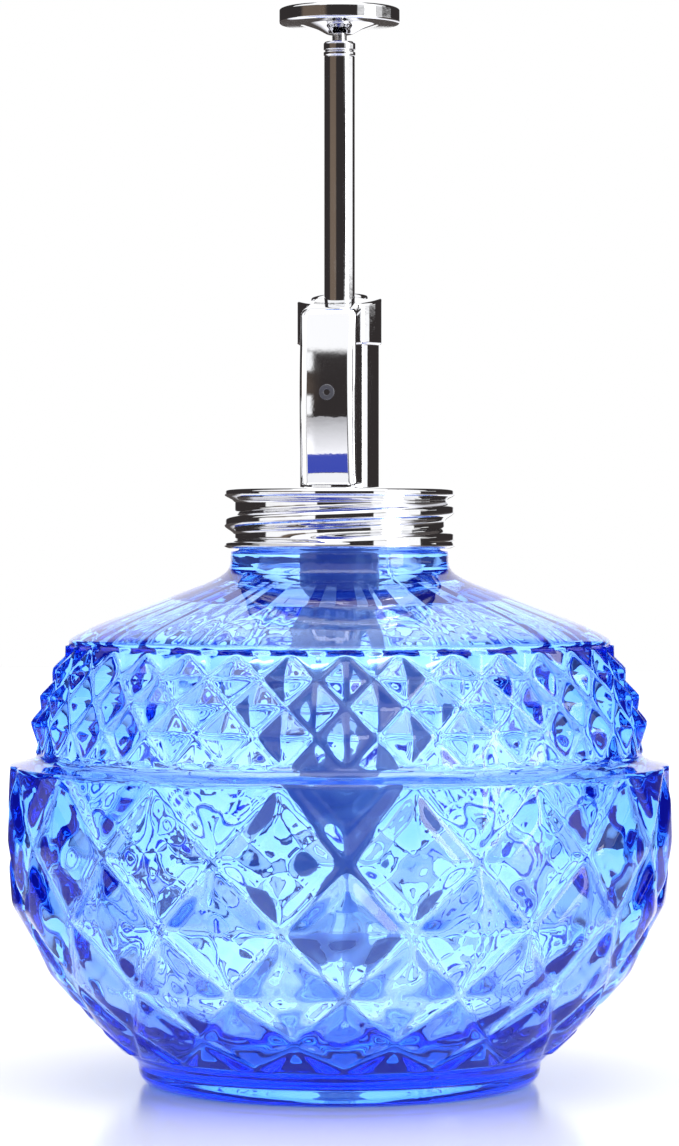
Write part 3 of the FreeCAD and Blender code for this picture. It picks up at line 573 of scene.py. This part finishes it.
# %% Put the bottle together
large, small = lattice(**LARGE)[::-1], lattice(**SMALL)[::-1]
stages = [turned(FOOT, COLUMNS), soften(large, LARGE_PASSES), turned(LEDGE, COLUMNS),
          soften(small, SMALL_PASSES), turned(SHOULDER, COLUMNS), neck_rings]
outside = seam(np.concatenate(stages), SEAM_ANGLE, SEAM_HEIGHT)
inside = inner_rings(evenly(INSIDE, INNER_RINGS), bottle_angle)
bottle_rings = np.concatenate([outside, turned(MOUTH, COLUMNS), inside])

ways = np.zeros((len(bottle_rings) - 1, COLUMNS), bool)
top_of_foot = len(FOOT)
ways[top_of_foot:top_of_foot + len(large) - 1] = cut_ways(
    len(large) - 1, COLUMNS, LARGE["cells"])[::-1]
base_of_small = top_of_foot + len(large) + len(LEDGE)
ways[base_of_small:base_of_small + len(small) - 1] = cut_ways(
    len(small) - 1, COLUMNS, SMALL["cells"])[::-1]
bottle = skin("bottle_glass", bottle_rings, diagonals=ways)
finish_piece(bottle, blue_glass, "bottle", ["glass_bottle"])

# %% [markdown]
# ## The screw cap
# A thin metal cap gets its thread by rolling, so the same helix shows outside as a soft rib. The
# radius is the root of the wall plus a rib that climbs one pitch a turn. A bead stiffens the top
# and the lower rim is turned out. The inside repeats the outside half a millimetre further in.

# %% Cap sizes
CAP_LOW, CAP_HIGH = (float(corner.z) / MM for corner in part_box("screw_cap"))
CAP_ROOT, CAP_CREST, CAP_WALL, CAP_HOLE = 15.9, 17.3, 0.5, 6.3
CAP_TURN, RIB_TURNS, RIB_LOW = math.radians(-115.6), 1.75, CAP_LOW + 0.35
RIB_HALF, RIB_FLAT = 1.75, 0.35
BEAD_HEIGHT, BEAD_HALF, BEAD_FLAT = CAP_HIGH - 0.8, 1.35, 0.25
RIM_HEIGHT, RIM_HALF, RIM_FLAT = CAP_LOW + 0.55, 1.0, 0.2
CAP_AROUND, WALL_RINGS = 240, 60
WALL_HIGH, PLATE_LOW = CAP_HIGH - 0.35, CAP_HIGH - 0.6
print("the cap stands from", round(CAP_LOW, 2), "to", round(CAP_HIGH, 2), "mm")


# %% Cap
def cap_radius(angle, height):
    """Outer radius of the cap's wall: the root, plus the rolled rib, a bead and a rim."""
    rib = helical_rib(angle, height, CAP_TURN, RIB_LOW, RIB_TURNS, RIB_HALF, RIB_FLAT)
    bead = ridge(height - BEAD_HEIGHT, BEAD_HALF, BEAD_FLAT)
    rim = ridge(height - RIM_HEIGHT, RIM_HALF, RIM_FLAT)
    return CAP_ROOT + (CAP_CREST - CAP_ROOT) * np.maximum(rib, np.maximum(bead, rim))


cap_angle = circle(CAP_AROUND)
wall = np.linspace(CAP_LOW, WALL_HIGH, WALL_RINGS)[:, None]
outer_wall = around_axis(cap_radius(cap_angle, wall), cap_angle, wall)
inner_wall = around_axis(cap_radius(cap_angle, wall) - CAP_WALL, cap_angle, wall)[::-1]
plate = turned(profile([(16.95, CAP_HIGH - 0.18), (16.4, CAP_HIGH, 0.4), (CAP_HOLE, CAP_HIGH, 0.15),
                        (CAP_HOLE, PLATE_LOW, 0.1), (15.2, PLATE_LOW)]), CAP_AROUND)
cap_rings = np.concatenate([outer_wall, plate, inner_wall[1:]])
cap = skin("cap_shell", cap_rings, loop=True)
finish_piece(cap, chrome, "cap", ["screw_cap"])

# %% [markdown]
# ## The pump head
# The head is a casting: a round stem with a wider collar at its top, and a block in front that
# carries the nozzle. Both are towers: an outline carried up from a flat foot to a top that slopes
# down to the front. The block's outline is a rectangle with rounded corners. Its front bows out
# in height, and slightly across, as arcs of large radius.

# %% Head sizes
HEAD_TOP, HEAD_SLOPE = 117.6, math.tan(math.radians(12))
BLOCK_HALF, BLOCK_REACH, BLOCK_LOW, BLOCK_BACK = 4.2, 10.8, 89.5, 1.0
BOW_RADIUS, BOW_HEIGHT, CROSS_RADIUS, BLOCK_CORNER = 68.0, 102.5, 70.0, 0.6
STEM_RADIUS, COLLAR_RADIUS, COLLAR_LOW = 6.0, 6.4, 110.5
FLANGE_LOW, FLANGE_HIGH, GLAND_RADIUS, BORE_RADIUS = 87.6, 88.6, 4.2, 3.3
SPIGOT_RADIUS, SPIGOT_LOW, FLANGE_RADIUS, GLAND_LOW = 5.15, 82.0, 14.8, 109.4
TOP_ROUNDING, FOOT_ROUNDING, CLOSING, FRONT_TOP = 1.1, 0.4, 3.5, HEAD_TOP - 2
STEM_AROUND, RIM_ROUNDING = 128, 0.5
print("the head's top falls", round(HEAD_SLOPE * BLOCK_REACH, 2), "mm to its front")


# %% Front block
def sloped(points, level, below=0.0):
    """Lifts points (x, y) of the block between its foot, level 0, and the sloping top, level 1."""
    height = HEAD_TOP + HEAD_SLOPE * points[..., 1] - BLOCK_LOW
    return np.stack([points[..., 0], points[..., 1], BLOCK_LOW + height * level - below], -1)


def block_ring(shrink, height):
    """The block's outline at a height, drawn in all round by shrink.

    The front stands back by R - sqrt(R^2 - (height - middle)^2) for the bow, and by x^2 / 2 C
    for the slight roundness across.
    """
    bow = BOW_RADIUS - math.sqrt(BOW_RADIUS ** 2 - (height - BOW_HEIGHT) ** 2)
    half, front, back = BLOCK_HALF - shrink, bow + shrink - BLOCK_REACH, BLOCK_BACK - shrink
    inner = half - BLOCK_CORNER
    across, turn = inner * np.linspace(0, 1, 7), np.linspace(0, math.pi / 2, 7)
    front_corner = [inner + BLOCK_CORNER * np.sin(turn), front + BLOCK_CORNER * (1 - np.cos(turn))]
    back_corner = [inner + BLOCK_CORNER * np.cos(turn), back - BLOCK_CORNER * (1 - np.sin(turn))]
    flank = [[half, half], [front_corner[1][-1] + 0.1, back_corner[1][0] - 0.1]]
    right = np.concatenate([[across, front + 0 * across], front_corner, flank, back_corner,
                            [[0], [back]]], axis=1).T
    right[:, 1] += np.where(right[:, 1] < front + 1, right[:, 0] ** 2 / (2 * CROSS_RADIUS), 0)
    return np.concatenate([right, right[-2:0:-1] * [-1, 1]])


# %% Put the block together
# Each ring has a level from foot to top, how far it is drawn in, and how far it lies below its
# level. The rounded edges are quarter circles, and the outermost rings close the two ends.
quarter = np.linspace(0, math.pi / 2, 9)
levels = [(0.0, CLOSING, 0.0)]
levels += [(0.0, FOOT_ROUNDING * (1 - math.sin(turn)), -FOOT_ROUNDING * (1 - math.cos(turn)))
           for turn in quarter]
levels += [(level, 0.0, 0.0) for level in [0.02, *np.linspace(0.03, 0.94, 30), 0.95]]
levels += [(1.0, TOP_ROUNDING * (1 - math.cos(turn)), TOP_ROUNDING * (1 - math.sin(turn)))
           for turn in quarter]
levels += [(1.0, CLOSING, 0.0)]
block_rings = np.stack([
    sloped(block_ring(shrink, BLOCK_LOW + level * (FRONT_TOP - BLOCK_LOW) - below), level, below)
    for level, shrink, below in levels])
block = skin("head_block", block_rings)
finish_piece(block, chrome, "pump_head", ["pump_housing"])

# %% Stem, collar and flange
stem_line = profile([(BORE_RADIUS, 100), (BORE_RADIUS, SPIGOT_LOW, 0.1),
                     (SPIGOT_RADIUS, SPIGOT_LOW, 0.2), (SPIGOT_RADIUS, FLANGE_LOW, 0.1),
                     (FLANGE_RADIUS, FLANGE_LOW, 0.2), (FLANGE_RADIUS, FLANGE_HIGH, 0.2),
                     (STEM_RADIUS, FLANGE_HIGH, 0.1), (STEM_RADIUS, COLLAR_LOW, 0.15),
                     (COLLAR_RADIUS, COLLAR_LOW + 0.25, 0.12), (COLLAR_RADIUS, COLLAR_LOW + 2)])
stem_angle = circle(STEM_AROUND)
rim_turns = np.linspace(0, math.pi / 2, 6)
rim = [(COLLAR_RADIUS, 1.2), (COLLAR_RADIUS, 0.6)]
rim += [(COLLAR_RADIUS - RIM_ROUNDING + RIM_ROUNDING * math.cos(turn),
         RIM_ROUNDING - RIM_ROUNDING * math.sin(turn)) for turn in rim_turns]
rim += [(GLAND_RADIUS + 0.3, 0.0), (GLAND_RADIUS + 0.08, 0.1), (GLAND_RADIUS, 0.3),
        (GLAND_RADIUS, 1.2)]
rim_radius, rim_below = (np.array(column)[:, None] for column in zip(*rim))
rim_rings = around_axis(rim_radius, stem_angle, HEAD_TOP + 0 * stem_angle)
rim_rings[..., 2] += HEAD_SLOPE * rim_rings[..., 1] - rim_below
bore = profile([(GLAND_RADIUS, 114), (GLAND_RADIUS, GLAND_LOW, 0.1), (BORE_RADIUS, GLAND_LOW, 0.1),
                (BORE_RADIUS, 100.5)])
stem_rings = np.concatenate([turned(stem_line, STEM_AROUND), rim_rings, turned(bore, STEM_AROUND)])
stem = skin("head_stem", stem_rings, loop=True)
finish_piece(stem, chrome, "pump_head", ["pump_housing"])

# %% [markdown]
# ## The plunger
# The plunger is turned metal: a tube, a grooved ferrule, a thin stem and the thumb disc with its
# shallow cone below and a rim that is just broken at its edges.

# %% Plunger sizes
DISC_LOW, DISC_HIGH = (float(corner.z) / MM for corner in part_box("thumb_disc"))
TUBE_LOW, TUBE_HIGH = (float(corner.z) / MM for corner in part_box("plunger_tube"))
DISC_RADIUS, DISC_AROUND, TUBE_AROUND = 9.15, 160, 96
TUBE_RADIUS, TUBE_BORE = 2.325, 1.85
FERRULE_RADIUS, GROOVE_RADIUS, FERRULE_BORE = 2.42, 2.2, 1.12
print("the tube is", round(TUBE_HIGH - TUBE_LOW, 2), "mm long")

# %% Thumb disc
disc_line = profile([(0.02, DISC_LOW), (1.9, DISC_LOW, 0.15), (3.3, DISC_LOW + 0.75, 0.5),
                     (5.6, DISC_LOW + 1.5, 0.3), (8.95, DISC_LOW + 1.55, 0.12),
                     (DISC_RADIUS, DISC_LOW + 1.8, 0.12), (DISC_RADIUS, DISC_HIGH - 0.35, 0.2),
                     (8.75, DISC_HIGH, 0.3), (7.2, DISC_HIGH - 0.05, 0.8), (0.02, DISC_HIGH - 0.35)])
disc = skin("disc", turned(disc_line, DISC_AROUND))
finish_piece(disc, chrome, "plunger", ["thumb_disc"])

# %% Tube
tube_line = profile([(TUBE_BORE, 120), (TUBE_BORE, TUBE_LOW, 0.05), (TUBE_RADIUS, TUBE_LOW, 0.08),
                     (TUBE_RADIUS, TUBE_HIGH, 0.1), (TUBE_BORE, TUBE_HIGH, 0.05), (TUBE_BORE, 121)])
tube = skin("tube", turned(tube_line, TUBE_AROUND), loop=True)
finish_piece(tube, chrome, "plunger", ["plunger_tube"])

# %% Ferrule
# Radius, height above the tube and rounding, in millimetres.
ferrule_corners = [(FERRULE_BORE, 1), (FERRULE_BORE, 0, 0.05), (2.28, 0, 0.08),
                   (FERRULE_RADIUS, 0.18, 0.1), (FERRULE_RADIUS, 0.62, 0.06),
                   (GROOVE_RADIUS, 0.7, 0.04), (GROOVE_RADIUS, 0.9, 0.04),
                   (FERRULE_RADIUS, 1.0, 0.06), (FERRULE_RADIUS, 1.95, 0.15),
                   (GROOVE_RADIUS, 2.2, 0.1), (FERRULE_BORE, 2.2, 0.05), (FERRULE_BORE, 1.2)]
ferrule_line = profile([(radius, TUBE_HIGH + height, *rounding)
                        for radius, height, *rounding in ferrule_corners])
ferrule = skin("ferrule", turned(ferrule_line, TUBE_AROUND), loop=True)
finish_piece(ferrule, chrome, "plunger", ["tube_collar"])

# %% [markdown]
# ## The return spring
# The spring is a wire carried along a helix. Its height goes with the share s of its run, plus
# 0.02 sin(2 pi s), so the coils stand an eighth wider than even at both ends and an eighth closer
# in the middle. Its ends are left open.

# %% Spring
SPRING_LOW, SPRING_HIGH = (float(corner.z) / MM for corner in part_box("return_spring"))
WIRE, SPRING_RADIUS, SPRING_TURNS, SPREAD = 0.34, 4.25, 8, 0.02
POINTS_A_TURN, WIRE_AROUND = 40, 12
run = np.linspace(0, 1, SPRING_TURNS * POINTS_A_TURN)
rise = run + SPREAD * np.sin(TAU * run)
helix_angle = run * SPRING_TURNS * TAU
centre = around_axis(SPRING_RADIUS, helix_angle,
                     SPRING_LOW + WIRE + (SPRING_HIGH - SPRING_LOW - 2 * WIRE) * rise)
outward = around_axis(1.0, helix_angle, 0 * helix_angle)
section = np.arange(WIRE_AROUND) * TAU / WIRE_AROUND
spring_rings = centre[:, None] + WIRE * (outward[:, None] * np.cos(section)[None, :, None]
                                         + np.array([0, 0, 1.0]) * np.sin(section)[None, :, None])
spring = skin("spring", spring_rings)
finish_piece(spring, steel, "pump_head", ["return_spring"])
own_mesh(spring)

# %% [markdown]
# ## Finishes on the carried-over parts
# The parts inside the pump keep their designed shape. Each gets the finish of what it is made of.

# %% Materials for the designed parts
FINISHES = {
    "pump_barrel": smoke_plastic, "inlet_seat": acetal, "inlet_cage": acetal, "strainer": acetal,
    "guide_bush": acetal, "swirl_core": acetal, "dip_tube": clear_plastic,
    "piston": dark_plastic, "piston_seal": rubber, "rod_seal": rubber, "barrel_seal": rubber,
    "nozzle_seal": rubber, "neck_gasket": rubber, "nozzle_tip": dark_plastic, "plunger_rod": steel,
    "inlet_ball": steel, "outlet_ball": steel}
for node, made in FINISHES.items():
    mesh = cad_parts[node].data
    mesh.materials.clear()
    mesh.materials.append(made)
print("finished", len(FINISHES), "designed parts")

# %% [markdown]
# ## Stage and light
# Glass and metal each see a room that suits them, and the camera sees plain white. Rays that have
# come through the glass find it bright behind the object and above it, and blue on the camera's
# side, which gives the facets their contrast. Metal mirrors white panels with dark walls between
# them: a tall one at the right front, a low one and two narrow ones at the left front, one high
# up over the front and both sides, and one straight behind. Matt surfaces get an even pale light.


# %% Helpers for masks
def smooth_step(tree, value, low, high):
    """A value that rises smoothly from 0 at low to 1 at high."""
    step = tree.nodes.new("ShaderNodeMapRange")
    step.interpolation_type = "SMOOTHSTEP"
    for socket, given in zip(("Value", "From Min", "From Max"), (value, low, high)):
        if isinstance(given, (int, float)):
            step.inputs[socket].default_value = given
        else:
            tree.links.new(given, step.inputs[socket])
    return step.outputs["Result"]


def calculate(tree, operation, *values):
    """A math node fed with sockets or numbers."""
    node = tree.nodes.new("ShaderNodeMath")
    node.operation = operation
    for socket, given in zip(node.inputs, values):
        if isinstance(given, (int, float)):
            socket.default_value = given
        else:
            tree.links.new(given, socket)
    return node.outputs["Value"]


def mixed(tree, factor, first, second):
    """The colour first where factor is 0 and second where it is 1; sockets or plain colours."""
    mix = tree.nodes.new("ShaderNodeMix")
    mix.data_type = "RGBA"
    for socket, given in zip(("Factor", "A", "B"), (factor, first, second)):
        if isinstance(given, (tuple, float)):
            mix.inputs[socket].default_value = given
        else:
            tree.links.new(given, mix.inputs[socket])
    return mix.outputs["Result"]


# %% [markdown]
# ## The floor
# The floor brightens with distance to the plain white of the backdrop. In front, out of the
# camera's view, a painted blue glow stands for the light that has come through the bottle, and
# behind the object at both sides painted shade makes a dark patch for the metal to mirror. Glossy
# rays alone see these two fields.

# %% Floor
FLOOR_HALF = 1.6
floor_mesh = bpy.data.meshes.new("floor")
floor_mesh.from_pydata([(-FLOOR_HALF, -FLOOR_HALF, 0), (FLOOR_HALF, -FLOOR_HALF, 0),
                        (FLOOR_HALF, FLOOR_HALF, 0), (-FLOOR_HALF, FLOOR_HALF, 0)],
                       [], [(0, 1, 2, 3)])
floor = bpy.data.objects.new("floor", floor_mesh)
bpy.context.scene.collection.objects.link(floor)
floor_white = material("floor_white", (0.92, 0.92, 0.93), (0.9, 0.9, 0.915), 0.1, 0.16, bump=0.0,
                       drift_scale=3, marks_scale=6)
floor_mesh.materials.append(floor_white)
print("floor:", 2 * FLOOR_HALF, "m square")

# %% Where the floor's fields lie
# Each pair is where a field begins and where it is full, in metres from the axis.
SWEEP_FADE, SWEEP_STRENGTH = (0.08, 0.6), 0.25
GLOW_SIDES, GLOW_NEAR, GLOW_FAR = (0.24, 0.2), (-0.42, -0.4), (-0.12, -0.14)
DIM_SIDES, DIM_BEHIND = (0.1, 0.18), (0.02, 0.12)
tree = floor_white.node_tree
spot = tree.nodes.new("ShaderNodeTexCoord")
turn_spot = tree.nodes.new("ShaderNodeVectorRotate")
turn_spot.rotation_type = "Z_AXIS"
turn_spot.inputs["Angle"].default_value = CAMERA_TURN
tree.links.new(spot.outputs["Object"], turn_spot.inputs["Vector"])
parts = tree.nodes.new("ShaderNodeSeparateXYZ")
tree.links.new(turn_spot.outputs["Vector"], parts.inputs["Vector"])
distance = tree.nodes.new("ShaderNodeVectorMath")
distance.operation = "LENGTH"
tree.links.new(spot.outputs["Object"], distance.inputs[0])
far = smooth_step(tree, distance.outputs["Value"], *SWEEP_FADE)
# The glow field is a painted pool of blue light, standing for light that has come through the
# bottle.
beside = smooth_step(tree, calculate(tree, "ABSOLUTE", parts.outputs["X"]), *GLOW_SIDES)
ahead = calculate(tree, "MULTIPLY", smooth_step(tree, parts.outputs["Y"], *GLOW_NEAR),
                  smooth_step(tree, parts.outputs["Y"], *GLOW_FAR))
rays = tree.nodes.new("ShaderNodeLightPath")
glow = calculate(tree, "MULTIPLY", calculate(tree, "MULTIPLY", beside, ahead),
                 rays.outputs["Is Glossy Ray"])
# The dim field is painted shade: a dark patch on the floor for the metal to mirror.
outer = smooth_step(tree, calculate(tree, "ABSOLUTE", parts.outputs["X"]), *DIM_SIDES)
dim = calculate(tree, "MULTIPLY", smooth_step(tree, parts.outputs["Y"], *DIM_BEHIND),
                calculate(tree, "MULTIPLY", outer, rays.outputs["Is Glossy Ray"]))
print("glow in front and dim behind are masks of", floor_white.name)

# %% Colours of the floor's fields
shader = tree.nodes["Principled BSDF"]
# Painted light: in the glow field the floor gives off blue.
shine = mixed(tree, glow, (1, 1, 1, 1), (0.01, 0.03, 0.34, 1))
tree.links.new(shine, shader.inputs["Emission Color"])
white = calculate(tree, "MULTIPLY", calculate(tree, "MULTIPLY", far, SWEEP_STRENGTH),
                  rays.outputs["Is Camera Ray"])
tree.links.new(calculate(tree, "MAXIMUM", white, glow), shader.inputs["Emission Strength"])
drifted = shader.inputs["Base Color"].links[0].from_socket
# Painted light: under the blue glow the base colour goes dark blue.
glow_base = mixed(tree, glow, drifted, (0.005, 0.01, 0.08, 1))
# Painted shade: in the dim field the base colour goes dark brown.
tree.links.new(mixed(tree, dim, glow_base, (0.04, 0.03, 0.025, 1)), shader.inputs["Base Color"])
polish = shader.inputs["Roughness"].links[0].from_socket
tree.links.new(calculate(tree, "MAXIMUM", polish, calculate(tree, "MAXIMUM", dim, glow)),
               shader.inputs["Roughness"])
print("the floor has", len(tree.nodes), "shader nodes")

# %% [markdown]
# ## The room
# No walls are modelled: the room is one world shader. It turns each ray's direction into a side
# and a lift in degrees, and every panel is a mask between two sides and two lifts. That is quick
# to render, and a panel can be moved by one number.

# %% Room
world = bpy.data.worlds.new("studio")
bpy.context.scene.world = world
world.use_nodes = True
room = world.node_tree
room.nodes.clear()
direction = room.nodes.new("ShaderNodeTexCoord")
facing = room.nodes.new("ShaderNodeVectorRotate")
facing.rotation_type = "Z_AXIS"
facing.inputs["Angle"].default_value = -CAMERA_TURN
room.links.new(direction.outputs["Generated"], facing.inputs["Vector"])
split = room.nodes.new("ShaderNodeSeparateXYZ")
room.links.new(facing.outputs["Vector"], split.inputs["Vector"])
toward = calculate(room, "MULTIPLY", split.outputs["Y"], -1.0)
side = calculate(room, "DEGREES", calculate(room, "ARCTAN2", split.outputs["X"], toward))
lift = calculate(room, "DEGREES", calculate(room, "ARCSINE", split.outputs["Z"]))
print("the room is measured in degrees of side and lift")


# %% Panel helper
def panel(side, lift, from_side, to_side, from_lift, to_lift, soft=1.5):
    """The mask of a panel between two sides and two lifts, in degrees, with soft edges."""
    edges = [smooth_step(room, side, from_side - soft, from_side + soft),
             smooth_step(room, side, to_side + soft, to_side - soft),
             smooth_step(room, lift, from_lift - soft, from_lift + soft),
             smooth_step(room, lift, to_lift + soft, to_lift - soft)]
    mask = edges[0]
    for edge in edges[1:]:
        mask = calculate(room, "MULTIPLY", mask, edge)
    return mask


# %% Panels round the object
# Sides are counted from the camera, 0, to its right, 90. Lifts are counted from the horizon. Each
# panel has its two sides, its two lifts and, where it isn't 1.5, the softness of its edges.
away = calculate(room, "ABSOLUTE", side)
PANELS = [(side, 34, 88, -30, 2.9, 0.4), (side, 47, 113, 2.9, 6.4, 0.4), (side, 34, 88, 6.4, 60),
          (side, -87, -27, -60, 1.0, 1.0), (side, -38, -24.2, -3, 2.2, 0.7),
          (side, -38, -24.2, 8.4, 13.5, 0.7), (away, -10, 100, 13.5, 100, 1.0),
          (away, 158, 200, -95, 95, 4)]
lit = 0.0
for which, *edges in PANELS:
    lit = calculate(room, "MAXIMUM", lit, panel(which, lift, *edges))
brown = calculate(room, "MULTIPLY", panel(side, lift, -75, -26, 0, 8, 5), 0.6)
walls = mixed(room, brown, (0.035, 0.03, 0.03, 1), (0.3, 0.22, 0.16, 1))
bands = mixed(room, lit, walls, (1.1, 1.1, 1.1, 1))
print("panels:", len(PANELS))

# %% Soft room seen through the glass
# In degrees, away from the camera's side and up from the horizon: where a change begins and ends.
CAMERA_SIDE, FAR_SIDE = (20, 100), (60, 165)
CEILING = (20, 60)
behind = smooth_step(room, away, *FAR_SIDE)
near_wall = mixed(room, smooth_step(room, away, *CAMERA_SIDE),
                  (0.08, 0.18, 1.1, 1), (0.5, 0.85, 1.8, 1))
soft_room = mixed(room, calculate(room, "MAXIMUM", behind, smooth_step(room, lift, *CEILING)),
                  near_wall, (1.75, 1.95, 2.2, 1))
path = room.nodes.new("ShaderNodeLightPath")
through = mixed(room, path.outputs["Is Transmission Ray"], bands, soft_room)
even = mixed(room, path.outputs["Is Diffuse Ray"], through, (0.95, 0.95, 1.0, 1))
plain = mixed(room, path.outputs["Is Camera Ray"], even, (1, 1, 1, 1))
background = room.nodes.new("ShaderNodeBackground")
output = room.nodes.new("ShaderNodeOutputWorld")
room.links.new(plain, background.inputs["Color"])
room.links.new(background.outputs["Background"], output.inputs["Surface"])
print("the room has", len(room.nodes), "shader nodes")

# %% [markdown]
# ## Two softboxes
# The room gives reflections and an even light. Two area lights add direction: a key light from
# the right front, and a wide one from above.

# %% Softboxes
AIM_HEIGHT, SOFTBOX_DISTANCE = 0.08, 1.6


def softbox(name, azimuth_degrees, elevation, size, power):
    """An area light aimed at the middle of the object. Azimuth 0 is the camera, 90 its right.

    Its distance times (sin turn cos lift, -cos turn cos lift, sin lift) is its place from there.
    """
    data = bpy.data.lights.new(name, "AREA")
    data.shape = "RECTANGLE"
    data.size, data.size_y = size
    data.energy = power
    light = bpy.data.objects.new(name, data)
    turn = CAMERA_TURN + math.radians(azimuth_degrees)
    lift = math.radians(elevation)
    light.location = (SOFTBOX_DISTANCE * math.sin(turn) * math.cos(lift),
                      -SOFTBOX_DISTANCE * math.cos(turn) * math.cos(lift),
                      AIM_HEIGHT + SOFTBOX_DISTANCE * math.sin(lift))
    light.rotation_euler = (math.pi / 2 - lift, 0, turn)
    bpy.context.scene.collection.objects.link(light)
    print(name, "at", [round(part, 3) for part in light.location])


softbox("key_right", 60, 14, (0.6, 0.9), 9)
softbox("top", 0, 80, (1.4, 1.4), 14)
bpy.context.scene.view_settings.view_transform = "Standard"
